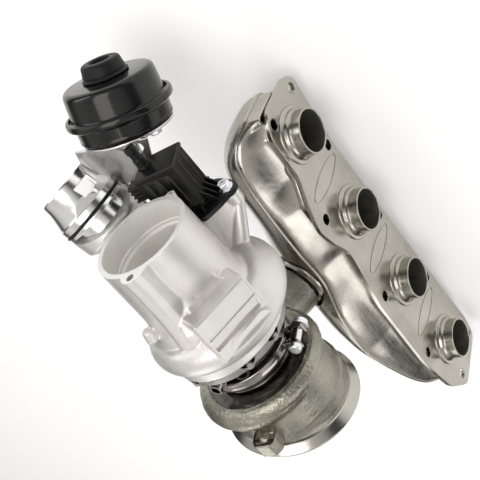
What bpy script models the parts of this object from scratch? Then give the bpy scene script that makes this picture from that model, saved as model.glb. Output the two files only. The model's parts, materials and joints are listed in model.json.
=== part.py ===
"""Turbocharger with a sheet-metal four-port exhaust manifold.

Frame: origin in the middle of the face that bolts to the cylinder head, half way
between the second and third port and level with their centres. +X runs along the
rotor towards the turbine outlet, +Y towards the cylinder head, +Z is up. Lengths
below are in mm and are laid out from the rotor axis at the turbine's back face;
the last step moves the finished assembly to its origin.
"""

import math

import bmesh
import bpy
from mathutils import Matrix, Vector

MM = 0.001

# ---------------------------------------------------------------- dimensions
PORT_PITCH = 92.0
PORT_X0 = -91.0
PORT_Z = -142.0
PORT_MOUTH_Y = 68.6
PORT_R = 18.8
PLATE_FRONT_Y = 53.6
PLATE_T = 4.0
SLEEVE_WALL = 1.6
SHELL_T = 1.5
DATUM = Vector((PORT_X0 + 1.5 * PORT_PITCH, PLATE_FRONT_Y, PORT_Z))

INLET_X = -142.5
INLET_BORE_R = 34.8
INLET_RIM_R = 38.3
COMP_BACK_X = -34.2
COMP_BACK_R = 50.6
COMP_SCROLL_X = -57.0

TURB_FRONT_X = 7.1
TURB_R = 52.0
TURB_SCROLL_X = 20.5
BOSS_X = -20.3                   # oil and coolant bosses between the flange and the V-band
OUTLET_C = Vector((56.5, -0.57, -2.4))
OUTLET_N = Vector((0.974, -0.214, 0.078)).normalized()
OUTLET_R = 58.0

COLLAR_C = Vector((26.0, -4.4, -97.0))
COLLAR_N = Vector((0.0, -0.37, 0.929)).normalized()

SHAFT_R = 5.0

WG_X, WG_Z = 46.5, -4.0          # wastegate spindle line, parallel to Y
WG_ARM = 27.0                    # spindle to lever pin
WG_HALF = math.radians(13.0)     # half of the lever's travel
EYE_Y = -73.8

ROD_D = Vector((0.947, -0.135, 0.281)).normalized()
CAN_DIST = 250.0                 # rod eye to the can's crimp ring
CAN_R = 44.0

NECK_BASE = Vector((-131.0, -62.0, -34.0))
NECK_D = Vector((-45.0, -17.4, -5.0)).normalized()

# ---------------------------------------------------------------- scene set-up
for old in list(bpy.data.objects):
    bpy.data.objects.remove(old, do_unlink=True)

PARTS = bpy.data.collections.new("turbocharger")
CUTTERS = bpy.data.collections.new("cutters")
for c in (PARTS, CUTTERS):
    bpy.context.scene.collection.children.link(c)
CUTTERS.hide_render = True


def material(name, colour, rough, metal):
    m = bpy.data.materials.new(name)
    m.use_nodes = True
    b = m.node_tree.nodes["Principled BSDF"]
    b.inputs["Base Color"].default_value = (*colour, 1.0)
    b.inputs["Roughness"].default_value = rough
    b.inputs["Metallic"].default_value = metal
    m.diffuse_color = (*colour, 1.0)
    return m


def part_material(node, colour, rough, metal):
    return material("m_" + node, colour, rough, metal)


CAST_ALU = ((0.72, 0.71, 0.68), 0.5, 0.9)
TURNED_ALU = ((0.86, 0.86, 0.86), 0.22, 1.0)
CAST_STEEL = ((0.34, 0.33, 0.28), 0.5, 0.9)
SHEET_STEEL = ((0.62, 0.60, 0.55), 0.3, 1.0)
BRIGHT_STEEL = ((0.75, 0.75, 0.75), 0.2, 1.0)
DARK_STEEL = ((0.25, 0.25, 0.25), 0.25, 1.0)
ZINC = ((0.78, 0.79, 0.82), 0.3, 1.0)
BLACK_PAINT = ((0.02, 0.02, 0.02), 0.3, 0.0)
BLACK_PLASTIC = ((0.025, 0.023, 0.024), 0.4, 0.0)
RUBBER = ((0.02, 0.02, 0.02), 0.7, 0.0)
IRON = ((0.30, 0.30, 0.29), 0.55, 0.9)
BRASS = ((0.72, 0.52, 0.22), 0.3, 1.0)


# ---------------------------------------------------------------- tools
def frame(origin, axis, near=(0.0, 0.0, 1.0)):
    """Matrix that puts local +Z on the axis and local +X as near as it can to the hint."""
    z = Vector(axis).normalized()
    h = Vector(near)
    if abs(z.dot(h.normalized())) > 0.95:
        h = Vector((1.0, 0.0, 0.0))
    x = (h - z * h.dot(z)).normalized()
    y = z.cross(x)
    m = Matrix((x, y, z)).transposed().to_4x4()
    m.translation = Vector(origin) * MM
    return m


def place(name, mesh, matrix, look=None, cutter=False):
    o = bpy.data.objects.new(name, mesh)
    o.matrix_world = matrix
    if cutter:
        CUTTERS.objects.link(o)
        o.hide_render = True
        o.display_type = "WIRE"
    else:
        PARTS.objects.link(o)
        mesh.materials.append(part_material(name, *look))
    return o


def wrap_up(bm, name, angle=0.6):
    mesh = bpy.data.meshes.new(name)
    bm.to_mesh(mesh)
    bm.free()
    mesh.shade_smooth()
    mesh.set_sharp_from_angle(angle=angle)
    return mesh


def turned(name, profile, matrix, segs=32, look=None, cutter=False):
    """A profile of (height, radius) points, closed on itself, spun about local Z."""
    pts = [(r, h) for h, r in profile]
    on_axis = pts[0][0] == 0.0 and pts[-1][0] == 0.0
    area = sum(
        pts[i][0] * pts[(i + 1) % len(pts)][1] - pts[(i + 1) % len(pts)][0] * pts[i][1]
        for i in range(len(pts))
    )
    if area > 0:
        pts.reverse()
    mesh = bpy.data.meshes.new(name)
    n = len(pts)
    edges = [(i, i + 1) for i in range(n - 1)]
    if not on_axis:
        edges.append((n - 1, 0))
    mesh.from_pydata([(r * MM, 0.0, h * MM) for r, h in pts], edges, [])
    o = place(name, mesh, matrix, look, cutter)
    s = o.modifiers.new("turn", "SCREW")
    s.steps = s.render_steps = segs
    s.use_merge_vertices = True
    s.merge_threshold = 1e-6
    s.use_smooth_shade = True
    s.use_normal_calculate = False
    return o


def rod(name, a, b, r, segs=24, r2=None, look=None, cutter=False):
    a, b = Vector(a), Vector(b)
    bm = bmesh.new()
    length = (b - a).length
    bmesh.ops.create_cone(
        bm, cap_ends=True, cap_tris=False, segments=segs, radius1=r * MM,
        radius2=(r if r2 is None else r2) * MM, depth=length * MM,
        matrix=Matrix.Translation((0, 0, length * MM / 2)),
    )
    return place(name, wrap_up(bm, name), frame(a, b - a), look, cutter)


def block(name, size, matrix, bevel=0.0, look=None, cutter=False):
    bm = bmesh.new()
    bmesh.ops.create_cube(bm, size=MM)
    bmesh.ops.scale(bm, vec=size, verts=bm.verts)
    o = place(name, wrap_up(bm, name), matrix, look, cutter)
    if bevel:
        b = o.modifiers.new("edges", "BEVEL")
        b.width = bevel * MM
        b.segments = 2
    return o


def outline(name, loops, thick, matrix, look=None, cutter=False):
    """A flat plate from closed 2D loops (the first is the edge, the rest are holes)."""
    c = bpy.data.curves.new(name, "CURVE")
    c.dimensions = "2D"
    c.fill_mode = "BOTH"
    c.extrude = thick * MM / 2
    for pts in loops:
        s = c.splines.new("POLY")
        s.points.add(len(pts) - 1)
        for p, (x, y) in zip(s.points, pts):
            p.co = (x * MM, y * MM, 0.0, 1.0)
        s.use_cyclic_u = True
    tmp = bpy.data.objects.new(name + "_curve", c)
    PARTS.objects.link(tmp)
    graph = bpy.context.evaluated_depsgraph_get()
    mesh = bpy.data.meshes.new_from_object(tmp.evaluated_get(graph))
    mesh.materials.clear()
    bpy.data.objects.remove(tmp, do_unlink=True)
    bm = bmesh.new()
    bm.from_mesh(mesh)
    bmesh.ops.remove_doubles(bm, verts=bm.verts, dist=1e-6)
    bmesh.ops.recalc_face_normals(bm, faces=bm.faces)
    bm.to_mesh(mesh)
    bm.free()
    mesh.name = name
    return place(name, mesh, matrix, look, cutter)


def wire(name, pts, r, res=2, smooth=False, look=None, cutter=False, caps=True, segs_u=6):
    """A round bar along points, made from a bevelled curve and turned into a mesh."""
    c = bpy.data.curves.new(name, "CURVE")
    c.dimensions = "3D"
    c.bevel_depth = r * MM
    c.bevel_resolution = res
    c.use_fill_caps = caps
    if smooth:
        c.resolution_u = segs_u
        s = c.splines.new("BEZIER")
        s.bezier_points.add(len(pts) - 1)
        for p, q in zip(s.bezier_points, pts):
            p.co = Vector(q) * MM
            p.handle_left_type = p.handle_right_type = "AUTO"
    else:
        s = c.splines.new("POLY")
        s.points.add(len(pts) - 1)
        for p, q in zip(s.points, pts):
            p.co = (*(Vector(q) * MM), 1.0)
    tmp = bpy.data.objects.new(name + "_curve", c)
    PARTS.objects.link(tmp)
    graph = bpy.context.evaluated_depsgraph_get()
    mesh = bpy.data.meshes.new_from_object(tmp.evaluated_get(graph))
    mesh.materials.clear()
    bpy.data.objects.remove(tmp, do_unlink=True)
    bm = bmesh.new()
    bm.from_mesh(mesh)
    bmesh.ops.remove_doubles(bm, verts=bm.verts, dist=1e-6)
    bmesh.ops.recalc_face_normals(bm, faces=bm.faces)
    bm.to_mesh(mesh)
    bm.free()
    mesh.name = name
    return place(name, mesh, Matrix.Identity(4), look, cutter)


def loft(name, rings, matrix=None, look=None, cutter=False, closed=False, caps=True):
    """Skin over rings of equal point counts; used where sections change shape."""
    bm = bmesh.new()
    rows = [[bm.verts.new(Vector(p) * MM) for p in ring] for ring in rings]
    n = len(rows[0])
    pairs = list(zip(rows[:-1], rows[1:]))
    if closed:
        pairs.append((rows[-1], rows[0]))
    for a, b in pairs:
        for i in range(n):
            bm.faces.new((a[i], a[(i + 1) % n], b[(i + 1) % n], b[i]))
    if caps and not closed:
        bm.faces.new(list(reversed(rows[0])))
        bm.faces.new(rows[-1])
    bmesh.ops.recalc_face_normals(bm, faces=bm.faces)
    return place(name, wrap_up(bm, name, 0.9), matrix or Matrix.Identity(4), look, cutter)


def boolean(o, other, op, solver="EXACT"):
    m = o.modifiers.new(op.lower(), "BOOLEAN")
    m.operation = op
    m.object = other
    m.solver = solver
    return o


def add(o, *others, solver="EXACT"):
    for x in others:
        boolean(o, x, "UNION", solver)
    return o


def cut(o, *others, solver="EXACT"):
    for x in others:
        boolean(o, x, "DIFFERENCE", solver)
    return o


def circle2(r, n, cx=0.0, cy=0.0, start=0.0):
    return [
        (cx + r * math.cos(start + 2 * math.pi * i / n), cy + r * math.sin(start + 2 * math.pi * i / n))
        for i in range(n)
    ]


def ring3(centre, normal, r, n, up=(1.0, 0.0, 0.0), squash=1.0):
    """Points of a circle in space; 'up' is where the first point lies."""
    z = Vector(normal).normalized()
    u = Vector(up)
    u = (u - z * u.dot(z)).normalized()
    v = z.cross(u)
    return [
        Vector(centre) + u * (r * math.cos(2 * math.pi * i / n)) + v * (r * squash * math.sin(2 * math.pi * i / n))
        for i in range(n)
    ]


X_AXIS = Vector((1.0, 0.0, 0.0))
Y_AXIS = Vector((0.0, 1.0, 0.0))
Z_AXIS = Vector((0.0, 0.0, 1.0))
ALONG_X = frame((0, 0, 0), X_AXIS)


def polar(x, r, deg):
    a = math.radians(deg)
    return Vector((x, r * math.cos(a), r * math.sin(a)))


# ---------------------------------------------------------------- manifold
PORTS = [PORT_X0 + PORT_PITCH * i for i in range(4)]

# Plate edge and bolt holes in the plate's plane: (x, z) from the first port's centre.
PLATE_EDGE = [
    (-37.8, -29.0), (-28.7, -39.8), (-8.0, -36.8), (43.0, -32.5), (95.0, -34.5), (160.0, -36.8),
    (243.0, -40.4), (300.0, -43.9), (322.0, -40.0), (331.0, 14.0), (324.0, 20.9), (303.5, 36.8),
    (269.0, 42.9), (249.0, 45.4), (165.7, 45.9), (145.9, 42.7), (103.7, 35.4), (84.0, 44.0),
    (62.0, 49.6), (40.0, 40.0), (20.0, 29.2), (-21.5, 28.4), (-37.6, 15.0),
]
BOLT_HOLES = [
    (-25.1, -32.0 + 3.0), (-25.3, 15.4), (35.5, -25.0), (64.3, 33.9), (125.1, -27.5),
    (166.1, 33.4), (219.0, -31.0), (251.0, 33.1), (317.1, 12.0), (312.1, -34.0),
]


def plate_xy(p):
    """Plate outlines are drawn with local x = -X and local y = Z, looking from the head."""
    return (-(p[0] + PORT_X0), p[1] + PORT_Z)


PLATE_M = Matrix(
    ((-1, 0, 0, 0), (0, 0, 1, (PLATE_FRONT_Y - PLATE_T / 2) * MM), (0, 1, 0, 0), (0, 0, 0, 1))
)
loops = [[plate_xy(p) for p in PLATE_EDGE]]
loops += [circle2(4.6, 8, *plate_xy(p)) for p in BOLT_HOLES]
loops += [circle2(24.4, 20, *plate_xy((PORT_PITCH * i, 0.0))) for i in range(4)]
outline("head_flange", loops, PLATE_T, PLATE_M, SHEET_STEEL)

# Port sleeves: pressed tubes with a flared foot that is welded in the plate.
for i, px in enumerate(PORTS):
    w = SLEEVE_WALL
    prof = [
        (68.6, PORT_R - w), (68.6, PORT_R), (60.0, PORT_R), (57.0, PORT_R + 1.2), (55.0, 24.0),
        (50.0, 24.0), (49.6, 22.0), (46.0, PORT_R), (42.0, PORT_R), (42.0, PORT_R - w),
    ]
    turned("port_sleeve_%d" % (i + 1), prof, frame((px, 0, PORT_Z), Y_AXIS), 18, SHEET_STEEL)


def smooth_step(t):
    t = max(0.0, min(1.0, t))
    return t * t * (3 - 2 * t)


def table(x, rows):
    """Eased interpolation in a short table of (x, value)."""
    if x <= rows[0][0]:
        return rows[0][1]
    for (xa, va), (xb, vb) in zip(rows[:-1], rows[1:]):
        if x <= xb:
            t = (x - xa) / (xb - xa)
            return va + (vb - va) * t
    return rows[-1][1]


SHELL_DEPTH = [(-132, 26), (-120, 8), (-100, -4), (-60, -10), (-15, -17), (26, -20), (60, -14), (105, 0), (150, 15), (190, 28), (216, 38)]
SHELL_TOP = [(-132, -126), (-122, -104), (-100, -92), (-60, -88), (-15, -87), (26, -88), (60, -77), (105, -75), (150, -83), (190, -98), (216, -122)]
SHELL_BOTTOM = [(-132, -150), (-120, -168), (-100, -175), (0, -174), (100, -177), (190, -180), (216, -158)]
SHELL_STATIONS = [-130, -124, -112, -96, -75, -50, -22, 5, 26, 47, 72, 100, 130, 160, 188, 206, 214]
SEAM_Y = 24.0


def shell_seam_y(x):
    """The weld seam lies half way between the plate and the shell's floor."""
    return max(SEAM_Y, 0.5 * (47.0 + table(x, SHELL_DEPTH)))


def shell_ring(x, n=12):
    """Lower half section at a station, from the seam on the -Z side round to the +Z side."""
    top, bot, floor = table(x, SHELL_TOP), table(x, SHELL_BOTTOM), table(x, SHELL_DEPTH)
    zc, h = (top + bot) / 2, (top - bot) / 2
    ys = shell_seam_y(x)
    d = ys - floor
    pts = []
    for i in range(n + 1):
        a = math.pi * i / n
        c, s = math.cos(a), math.sin(a)
        # a little squarer than an ellipse
        pts.append((x, ys - d * abs(s) ** 0.9, zc - h * math.copysign(abs(c) ** 0.9, c)))
    return pts


def open_skin(name, rows, thick, look, end_caps=True, offset=-1.0):
    """Sheet piece: a grid of points made into an open surface and given a thickness."""
    bm = bmesh.new()
    vs = [[bm.verts.new(Vector(p) * MM) for p in row] for row in rows]
    for a, b in zip(vs[:-1], vs[1:]):
        for i in range(len(a) - 1):
            bm.faces.new((a[i], b[i], b[i + 1], a[i + 1]))
    if end_caps:
        bm.faces.new(list(vs[0]))
        bm.faces.new(list(reversed(vs[-1])))
    o = place(name, wrap_up(bm, name, 0.9), Matrix.Identity(4), look)
    s = o.modifiers.new("sheet", "SOLIDIFY")
    s.thickness = thick * MM
    s.offset = offset
    s.use_even_offset = True
    return o


rear = open_skin("manifold_rear_shell", [shell_ring(x) for x in SHELL_STATIONS], SHELL_T, SHEET_STEEL)
collar_hole = turned(
    "collar_hole", [(-42, 0), (-42, 25.9), (-4.4, 25.9), (-4.4, 29.2), (14, 29.2), (14, 0)],
    frame(COLLAR_C, COLLAR_N), 24, cutter=True,
)
cut(rear, collar_hole, solver="MANIFOLD")


def rim_loop(y_of, inset=0.0):
    """Closed loop round the shell's footprint at heights given by y_of(x)."""
    lo, hi = [], []
    for x in SHELL_STATIONS:
        lo.append((x, y_of(x), table(x, SHELL_BOTTOM) + inset))
        hi.append((x, y_of(x), table(x, SHELL_TOP) - inset))
    return lo, hi


def plate_top_z(x):
    """Plate's upper edge line, a little inside it."""
    rows = [(p[0] + PORT_X0, p[1] + PORT_Z) for p in reversed(PLATE_EDGE[9:])]
    return table(x, rows) - 2.5


def plate_low_z(x):
    rows = [(p[0] + PORT_X0, p[1] + PORT_Z) for p in PLATE_EDGE[1:8]]
    return table(x, rows) + 3.0


front_rows = []
for frac in (0.0, 0.35, 0.7, 1.0):
    lo, hi = [], []
    for k, x in enumerate(SHELL_STATIONS):
        y0 = shell_seam_y(x) + 1.8
        y1 = 49.2
        e = smooth_step(frac)
        end = 1.0 if 0 < k < len(SHELL_STATIONS) - 1 else 0.0
        zt0, zb0 = table(x, SHELL_TOP), table(x, SHELL_BOTTOM)
        zt1 = min(plate_top_z(x), -104.0 + 0.0 * x) if end else zt0
        zb1 = max(plate_low_z(x), zb0) if end else zb0
        xx = x + (2.0 if k == 0 else (-2.0 if k == len(SHELL_STATIONS) - 1 else 0.0)) * frac
        y = y0 + (y1 - y0) * frac
        hi.append((xx, y, zt0 + (zt1 - zt0) * e))
        lo.append((xx, y, zb0 + (zb1 - zb0) * e))
    front_rows.append(lo + list(reversed(hi)))


def skirt(name, rows, thick, look):
    """Closed band of sheet: rows of loops, thickness added inwards."""
    bm = bmesh.new()
    vs = [[bm.verts.new(Vector(p) * MM) for p in row] for row in rows]
    n = len(vs[0])
    for a, b in zip(vs[:-1], vs[1:]):
        for i in range(n):
            bm.faces.new((a[i], a[(i + 1) % n], b[(i + 1) % n], b[i]))
    bmesh.ops.recalc_face_normals(bm, faces=bm.faces)
    o = place(name, wrap_up(bm, name, 0.9), Matrix.Identity(4), look)
    s = o.modifiers.new("sheet", "SOLIDIFY")
    s.thickness = thick * MM
    s.offset = -1.0
    s.use_even_offset = True
    return o


cut(skirt("manifold_front_shell", front_rows, SHELL_T, SHEET_STEEL), collar_hole, solver="MANIFOLD")

# Inner runners: slip-fit pipes that carry the gas inside the air gap.
RUNNERS = [
    [(PORTS[0], 44, PORT_Z), (PORTS[0] + 1, 32, PORT_Z + 1), (-72, 14, -138), (-26, 8, -134)],
    [(PORTS[1], 44, PORT_Z), (PORTS[1], 34, PORT_Z), (PORTS[1] + 2, 22, PORT_Z + 4)],
    [(PORTS[2], 44, PORT_Z), (PORTS[2] - 1, 32, PORT_Z + 1), (74, 16, -138), (52, 10, -132)],
    [(PORTS[3], 44, PORT_Z), (PORTS[3], 41.5, PORT_Z)],
]
RUNNER_R = [15.0, 15.0, 14.5, 14.5]


def hollow_pipe(name, pts, r, wall, look):
    o = wire(name, pts, r, res=2, smooth=True, look=look, caps=False, segs_u=3)
    s = o.modifiers.new("wall", "SOLIDIFY")
    s.thickness = wall * MM
    s.offset = -1.0
    return o


for i, pts in enumerate(RUNNERS):
    hollow_pipe("inner_runner_%d" % (i + 1), pts, RUNNER_R[i], 1.2, SHEET_STEEL)

# Collar that joins the sheet manifold to the cast turbine inlet.
turned(
    "collector_collar",
    [(-14, 23.2), (-14, 25.2), (-4, 25.2), (-2.5, 27.6), (0.5, 28.4), (3.0, 27.6), (3.6, 25.6), (3.6, 23.2)],
    frame(COLLAR_C, COLLAR_N), 28, SHEET_STEEL,
)

# ---------------------------------------------------------------- turbine housing
def turbine_path():
    """Centre line and radius of the gas passage: inlet pipe, then the spiral."""
    pts = []
    for t in (0.0, 0.25, 0.5, 0.75):
        c = COLLAR_C + COLLAR_N * 5.4
        end = Vector((TURB_SCROLL_X, -41.0, -8.0))
        mid = Vector((26.0, -26.0, -48.0))
        p = c * (1 - t) ** 2 + mid * 2 * t * (1 - t) + end * t * t
        pts.append((p, 21.5 - 4.5 * t))
    for k in range(0, 17):
        deg = 178.0 - 19.5 * k
        f = k / 16.0
        pts.append((polar(TURB_SCROLL_X, 44.0 - 13.5 * f, deg), 15.2 - 8.8 * f))
    return pts


def path_rings(path, extra, n, first=None, last=None, up=(1.0, 0.0, 0.0), flat=lambda k: 1.0):
    """Rings square to the path; the start direction is carried along so that they don't twist."""
    rings = []
    sel = path[first:last]
    u = Vector(up)
    for k, (p, r) in enumerate(sel):
        a = sel[max(0, k - 1)][0]
        b = sel[min(len(sel) - 1, k + 1)][0]
        t = (b - a).normalized()
        u = (u - t * u.dot(t)).normalized()
        s = flat(k)
        v = t.cross(u)
        rings.append([
            p + u * ((r * s + extra) * math.cos(2 * math.pi * i / n)) + v * ((r + extra) * math.sin(2 * math.pi * i / n))
            for i in range(n)
        ])
    return rings


def turbine_flat(k):
    """The spiral's section is narrower along the shaft than it is tall."""
    return 1.0 - 0.27 * smooth_step(k / 4.0)


TPATH = turbine_path()
thouse = turned(
    "turbine_housing",
    [
        (-7.0, 0), (-7.0, 36.0), (-4.2, 36.0), (-0.8, 33.0), (4.6, 33.0), (5.4, 38.0), (9.2, 49.8),
        (12.0, 52.4), (19.5, 53.6), (23.0, 50.8), (36.0, 50.4), (52.0, 50.0), (52.0, 0),
    ],
    ALONG_X, 26, CAST_STEEL,
)
t_neck = turned(
    "outlet_neck",
    [(-15, 0), (-15, 49.6), (0, 50.2), (2.4, 51.6), (9.2, 57.6), (11.2, 58.0), (11.2, 0)],
    frame(OUTLET_C, OUTLET_N), 26, cutter=True,
)
t_scroll = loft("turbine_scroll_skin", path_rings(TPATH, 4.0, 12, 0, 12, flat=turbine_flat), cutter=True)
t_boss = rod("spindle_boss", (WG_X, -44, WG_Z), (WG_X, -66, WG_Z), 7.4, 18, cutter=True)
t_lug = block("probe_lug", (14, 18, 14), frame(polar(45.5, 54, 82), polar(0, 1, 82), (1, 0, 0)), 1.2, cutter=True)
add(thouse, t_scroll, t_neck, t_boss, t_lug, solver="MANIFOLD")
t_gas = loft("turbine_passage", path_rings(TPATH, 0.0, 10, flat=turbine_flat), cutter=True)
t_bore = turned(
    "turbine_bore",
    [
        (-8, 0), (-8, 28.4), (14.5, 28.4), (17.0, 34.0), (23.9, 34.0), (24.7, 25.0), (29.0, 22.8),
        (35.0, 22.0), (41.0, 22.0), (42.0, 23.0), (42.0, 41.0), (44.0, 43.5), (49.0, 45.0), (49.0, 0),
    ],
    ALONG_X, 24, cutter=True,
)
t_out = turned(
    "outlet_bore", [(-10.5, 0), (-10.5, 43.0), (-4, 46.2), (13, 46.8), (13, 0)],
    frame(OUTLET_C, OUTLET_N), 28, cutter=True,
)
t_port = rod("wastegate_port", (31, -30, -20), (46, -30, -20), 7.0, 20, cutter=True)
t_sp = rod("spindle_hole", (WG_X, -30, WG_Z), (WG_X, -70, WG_Z), 5.9, 18, cutter=True)
cut(thouse, t_gas, t_bore, t_out, t_port, t_sp, solver="MANIFOLD")

turned(
    "wastegate_bushing", [(0, 3.5), (0, 5.6), (19, 5.6), (19, 3.5)],
    frame((WG_X, -66.4, WG_Z), Y_AXIS), 20, DARK_STEEL,
)

# Wastegate: flap, inner arm with spindle, outer lever and its pin. All turn about the spindle.
lever_mid = math.atan2(-0.9587, 0.2845)            # perpendicular to the rod, pointing down
lever_rest = lever_mid - WG_HALF
PIN = Vector((WG_X + WG_ARM * math.cos(lever_rest), EYE_Y, WG_Z + WG_ARM * math.sin(lever_rest)))

pivot = bpy.data.objects.new("wastegate_pivot", None)
pivot.location = (WG_X * MM, -70 * MM, WG_Z * MM)
PARTS.objects.link(pivot)
bpy.context.view_layer.update()


def on_pivot(o):
    m = o.matrix_world.copy()
    o.parent = pivot
    o.matrix_world = m
    return o


arm = rod("wastegate_arm", (WG_X, -25.0, WG_Z), (WG_X, -76.0 + 4.0, WG_Z), 3.2, 20, look=DARK_STEEL)
arm_bar = block(
    "arm_bar", (5.0, 8.0, 17.0),
    Matrix.Translation(Vector((WG_X + 1.2, -29.0, WG_Z - 8.2)) * MM), 0.8, cutter=True,
)
add(arm, arm_bar)
cut(arm, rod("flap_stem_hole", (40, -30, -17.0), (56, -30, -17.0), 2.6, 14, cutter=True))
on_pivot(arm)
flap = turned(
    "wastegate_flap",
    [(42.0, 0), (42.0, 8.6), (44.2, 9.4), (44.8, 8.6), (44.8, 2.2), (51.4, 2.2), (51.8, 1.8), (51.8, 0)],
    frame((0, -30, -18.0), X_AXIS), 24, DARK_STEEL,
)
flap.matrix_world = frame((0, -30, -17.0), X_AXIS)
on_pivot(flap)
lever = outline(
    "wastegate_lever",
    [
        [
            (8.0 * math.cos(math.radians(a)), 8.0 * math.sin(math.radians(a))) for a in range(30, 331, 30)
        ]
        + [
            (WG_ARM + 6.0 * math.cos(math.radians(a)), 6.0 * math.sin(math.radians(a)))
            for a in range(-120, 121, 30)
        ],
        circle2(3.45, 16), circle2(2.8, 14, WG_ARM, 0.0),
    ],
    4.0, Matrix.Identity(4), ZINC,
)
ux = (PIN - Vector((WG_X, EYE_Y, WG_Z))).normalized()
lm = Matrix((ux, (-Y_AXIS).cross(ux), -Y_AXIS)).transposed().to_4x4()
lm.translation = Vector((WG_X, -69.4, WG_Z)) * MM
lever.matrix_world = lm
on_pivot(lever)
pin = turned(
    "lever_pin", [(0, 0), (0, 4.0), (1.4, 4.0), (1.4, 2.5), (9.2, 2.5), (9.4, 2.3), (9.4, 0)],
    frame((PIN.x, -65.9, PIN.z), -Y_AXIS), 18, ZINC,
)
on_pivot(pin)

# ---------------------------------------------------------------- bearing housing and rotor
bh = turned(
    "bearing_housing",
    [
        (-33.8, 8.3), (-33.8, 50.0), (-27.6, 49.6), (-27.4, 45.0), (-26.8, 36.0), (-20.0, 28.0),
        (-15.6, 28.6), (-13.2, 32.0), (-10.2, 36.0), (-7.2, 36.0), (-7.2, 27.6), (10.0, 27.6), (10.0, 8.3),
    ],
    ALONG_X, 24, IRON,
)
cut(bh, block("drain_notch", (9, 44, 14), Matrix.Translation((-29.4 * MM, 0, -49.8 * MM)), 0, cutter=True))
add(
    bh,
    rod("oil_feed_boss", (BOSS_X, 0, 20), (BOSS_X, 0, 35), 6.2, 18, cutter=True),
    rod("oil_drain_boss", (BOSS_X, 0, -18), (BOSS_X, 0, -43), 6.2, 20, cutter=True),
    rod("coolant_boss", polar(BOSS_X, 20, 60), polar(BOSS_X, 41, 60), 6.0, 18, cutter=True),
)
cut(
    bh,
    rod("oil_feed_hole", (BOSS_X, 0, 0), (BOSS_X, 0, 40), 3.2, 14, cutter=True),
    rod("oil_drain_hole", (BOSS_X, 0, 0), (BOSS_X, 0, -50), 5.2, 16, cutter=True),
    rod("coolant_hole", polar(BOSS_X, 24, 60), polar(BOSS_X, 45, 60), 3.6, 14, cutter=True),
)
for pocket_deg in (12.0, 45.0, 105.0, 160.0, 215.0, 320.0):
    cut(bh, rod("bolt_pocket", polar(-37.8, 46.6, pocket_deg), polar(-37.8, 56, pocket_deg), 7.6, 20, cutter=True))
turned(
    "heat_shield", [(10.4, 9.0), (10.4, 28.0), (12.9, 28.0), (12.9, 27.2), (11.4, 27.0), (11.4, 9.0)],
    ALONG_X, 24, SHEET_STEEL,
)
bp = turned(
    "compressor_backplate",
    [
        (-34.1, 8.6), (-34.1, 46.0), (-46.2, 46.0), (-46.2, 28.8), (-42.6, 28.2), (-42.6, 8.6),
    ],
    ALONG_X, 24, CAST_ALU,
)

axle = bpy.data.objects.new("rotor_axis", None)
PARTS.objects.link(axle)


def on_axle(o):
    m = o.matrix_world.copy()
    o.parent = axle
    o.matrix_world = m
    return o


on_axle(turned(
    "rotor_shaft",
    [(-81.0, 0), (-81.0, 2.4), (-47.0, 2.4), (-47.0, 3.6), (-41.6, 3.6), (-33.0, 3.6), (-33.0, SHAFT_R), (9.0, SHAFT_R),
     (9.0, 7.6), (12.6, 7.6), (12.6, 0)],
    ALONG_X, 20, BRIGHT_STEEL,
))


def wheel_blades(name, hub_pts, tip_pts, count, thick, twist, n=5):
    """Bladed wheel: thin lofted plates that lean round the hub, one helper per blade."""
    blades = []
    for b in range(count):
        base = 2 * math.pi * b / count
        rings = []
        m = len(hub_pts)
        for k in range(m):
            (hx, hr), (tx, tr) = hub_pts[k], tip_pts[k]
            a = base + twist * (1 - k / (m - 1)) ** 1.5
            row = []
            for rr, xx, th in ((hr - 1.2, hx, thick), (tr, tx, thick * 0.7)):
                da = th / 2 / max(rr, 1.0)
                row.append((xx, rr, a - da, a + da))
            (x0, r0, a0, b0), (x1, r1, a1, b1) = row
            rings.append([
                (x0, r0 * math.cos(a0), r0 * math.sin(a0)), (x1, r1 * math.cos(a1), r1 * math.sin(a1)),
                (x1, r1 * math.cos(b1), r1 * math.sin(b1)), (x0, r0 * math.cos(b0), r0 * math.sin(b0)),
            ])
        blades.append(loft("%s_blade_%d" % (name, b), rings, cutter=True))
    return blades


comp = turned(
    "compressor_wheel",
    [(-75.5, 2.7), (-75.5, 5.2), (-70.0, 6.4), (-62.0, 9.0), (-55.0, 13.0), (-50.0, 18.0), (-47.2, 23.0), (-46.0, 27.0),
     (-44.4, 27.0), (-43.2, 18.0), (-43.2, 6.0), (-47.3, 6.0), (-47.3, 2.7)],
    ALONG_X, 18, TURNED_ALU,
)
add(comp, *wheel_blades(
    "cw", [(-72.0, 6.0), (-62.5, 9.0), (-53.0, 15.0), (-46.4, 25.4)],
    [(-72.0, 19.8), (-62.5, 19.9), (-55.0, 22.6), (-51.4, 26.9)], 11, 1.2, 1.1))
on_axle(comp)
on_axle(turned(
    "compressor_nut", [(-80.0, 3.0), (-80.0, 4.8), (-79.0, 5.6), (-75.8, 5.6), (-75.8, 3.0)], ALONG_X, 6, ZINC
))
on_axle(turned(
    "thrust_collar", [(-41.4, 3.9), (-41.4, 8.0), (-38.5, 8.0), (-37.5, 6.4), (-36.0, 6.4), (-35.0, 8.0), (-34.2, 8.0), (-34.2, 3.9)],
    ALONG_X, 20, BRIGHT_STEEL,
))
turb = turned(
    "turbine_wheel",
    [(13.0, 0), (13.0, 7.4), (15.4, 8.0), (15.6, 20.0), (16.8, 21.5), (18.2, 18.0), (22.5, 12.5), (29.0, 8.5), (39.0, 7.0), (44.0, 6.4), (47.0, 4.0), (47.5, 0)],
    ALONG_X, 18, IRON,
)
add(turb, *wheel_blades(
    "tw", [(41.5, 6.6), (33.0, 7.6), (23.5, 11.5), (17.0, 20.4)],
    [(41.5, 21.0), (34.0, 21.2), (27.0, 22.6), (22.6, 24.0)], 10, 1.5, -0.95))
on_axle(turb)

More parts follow.
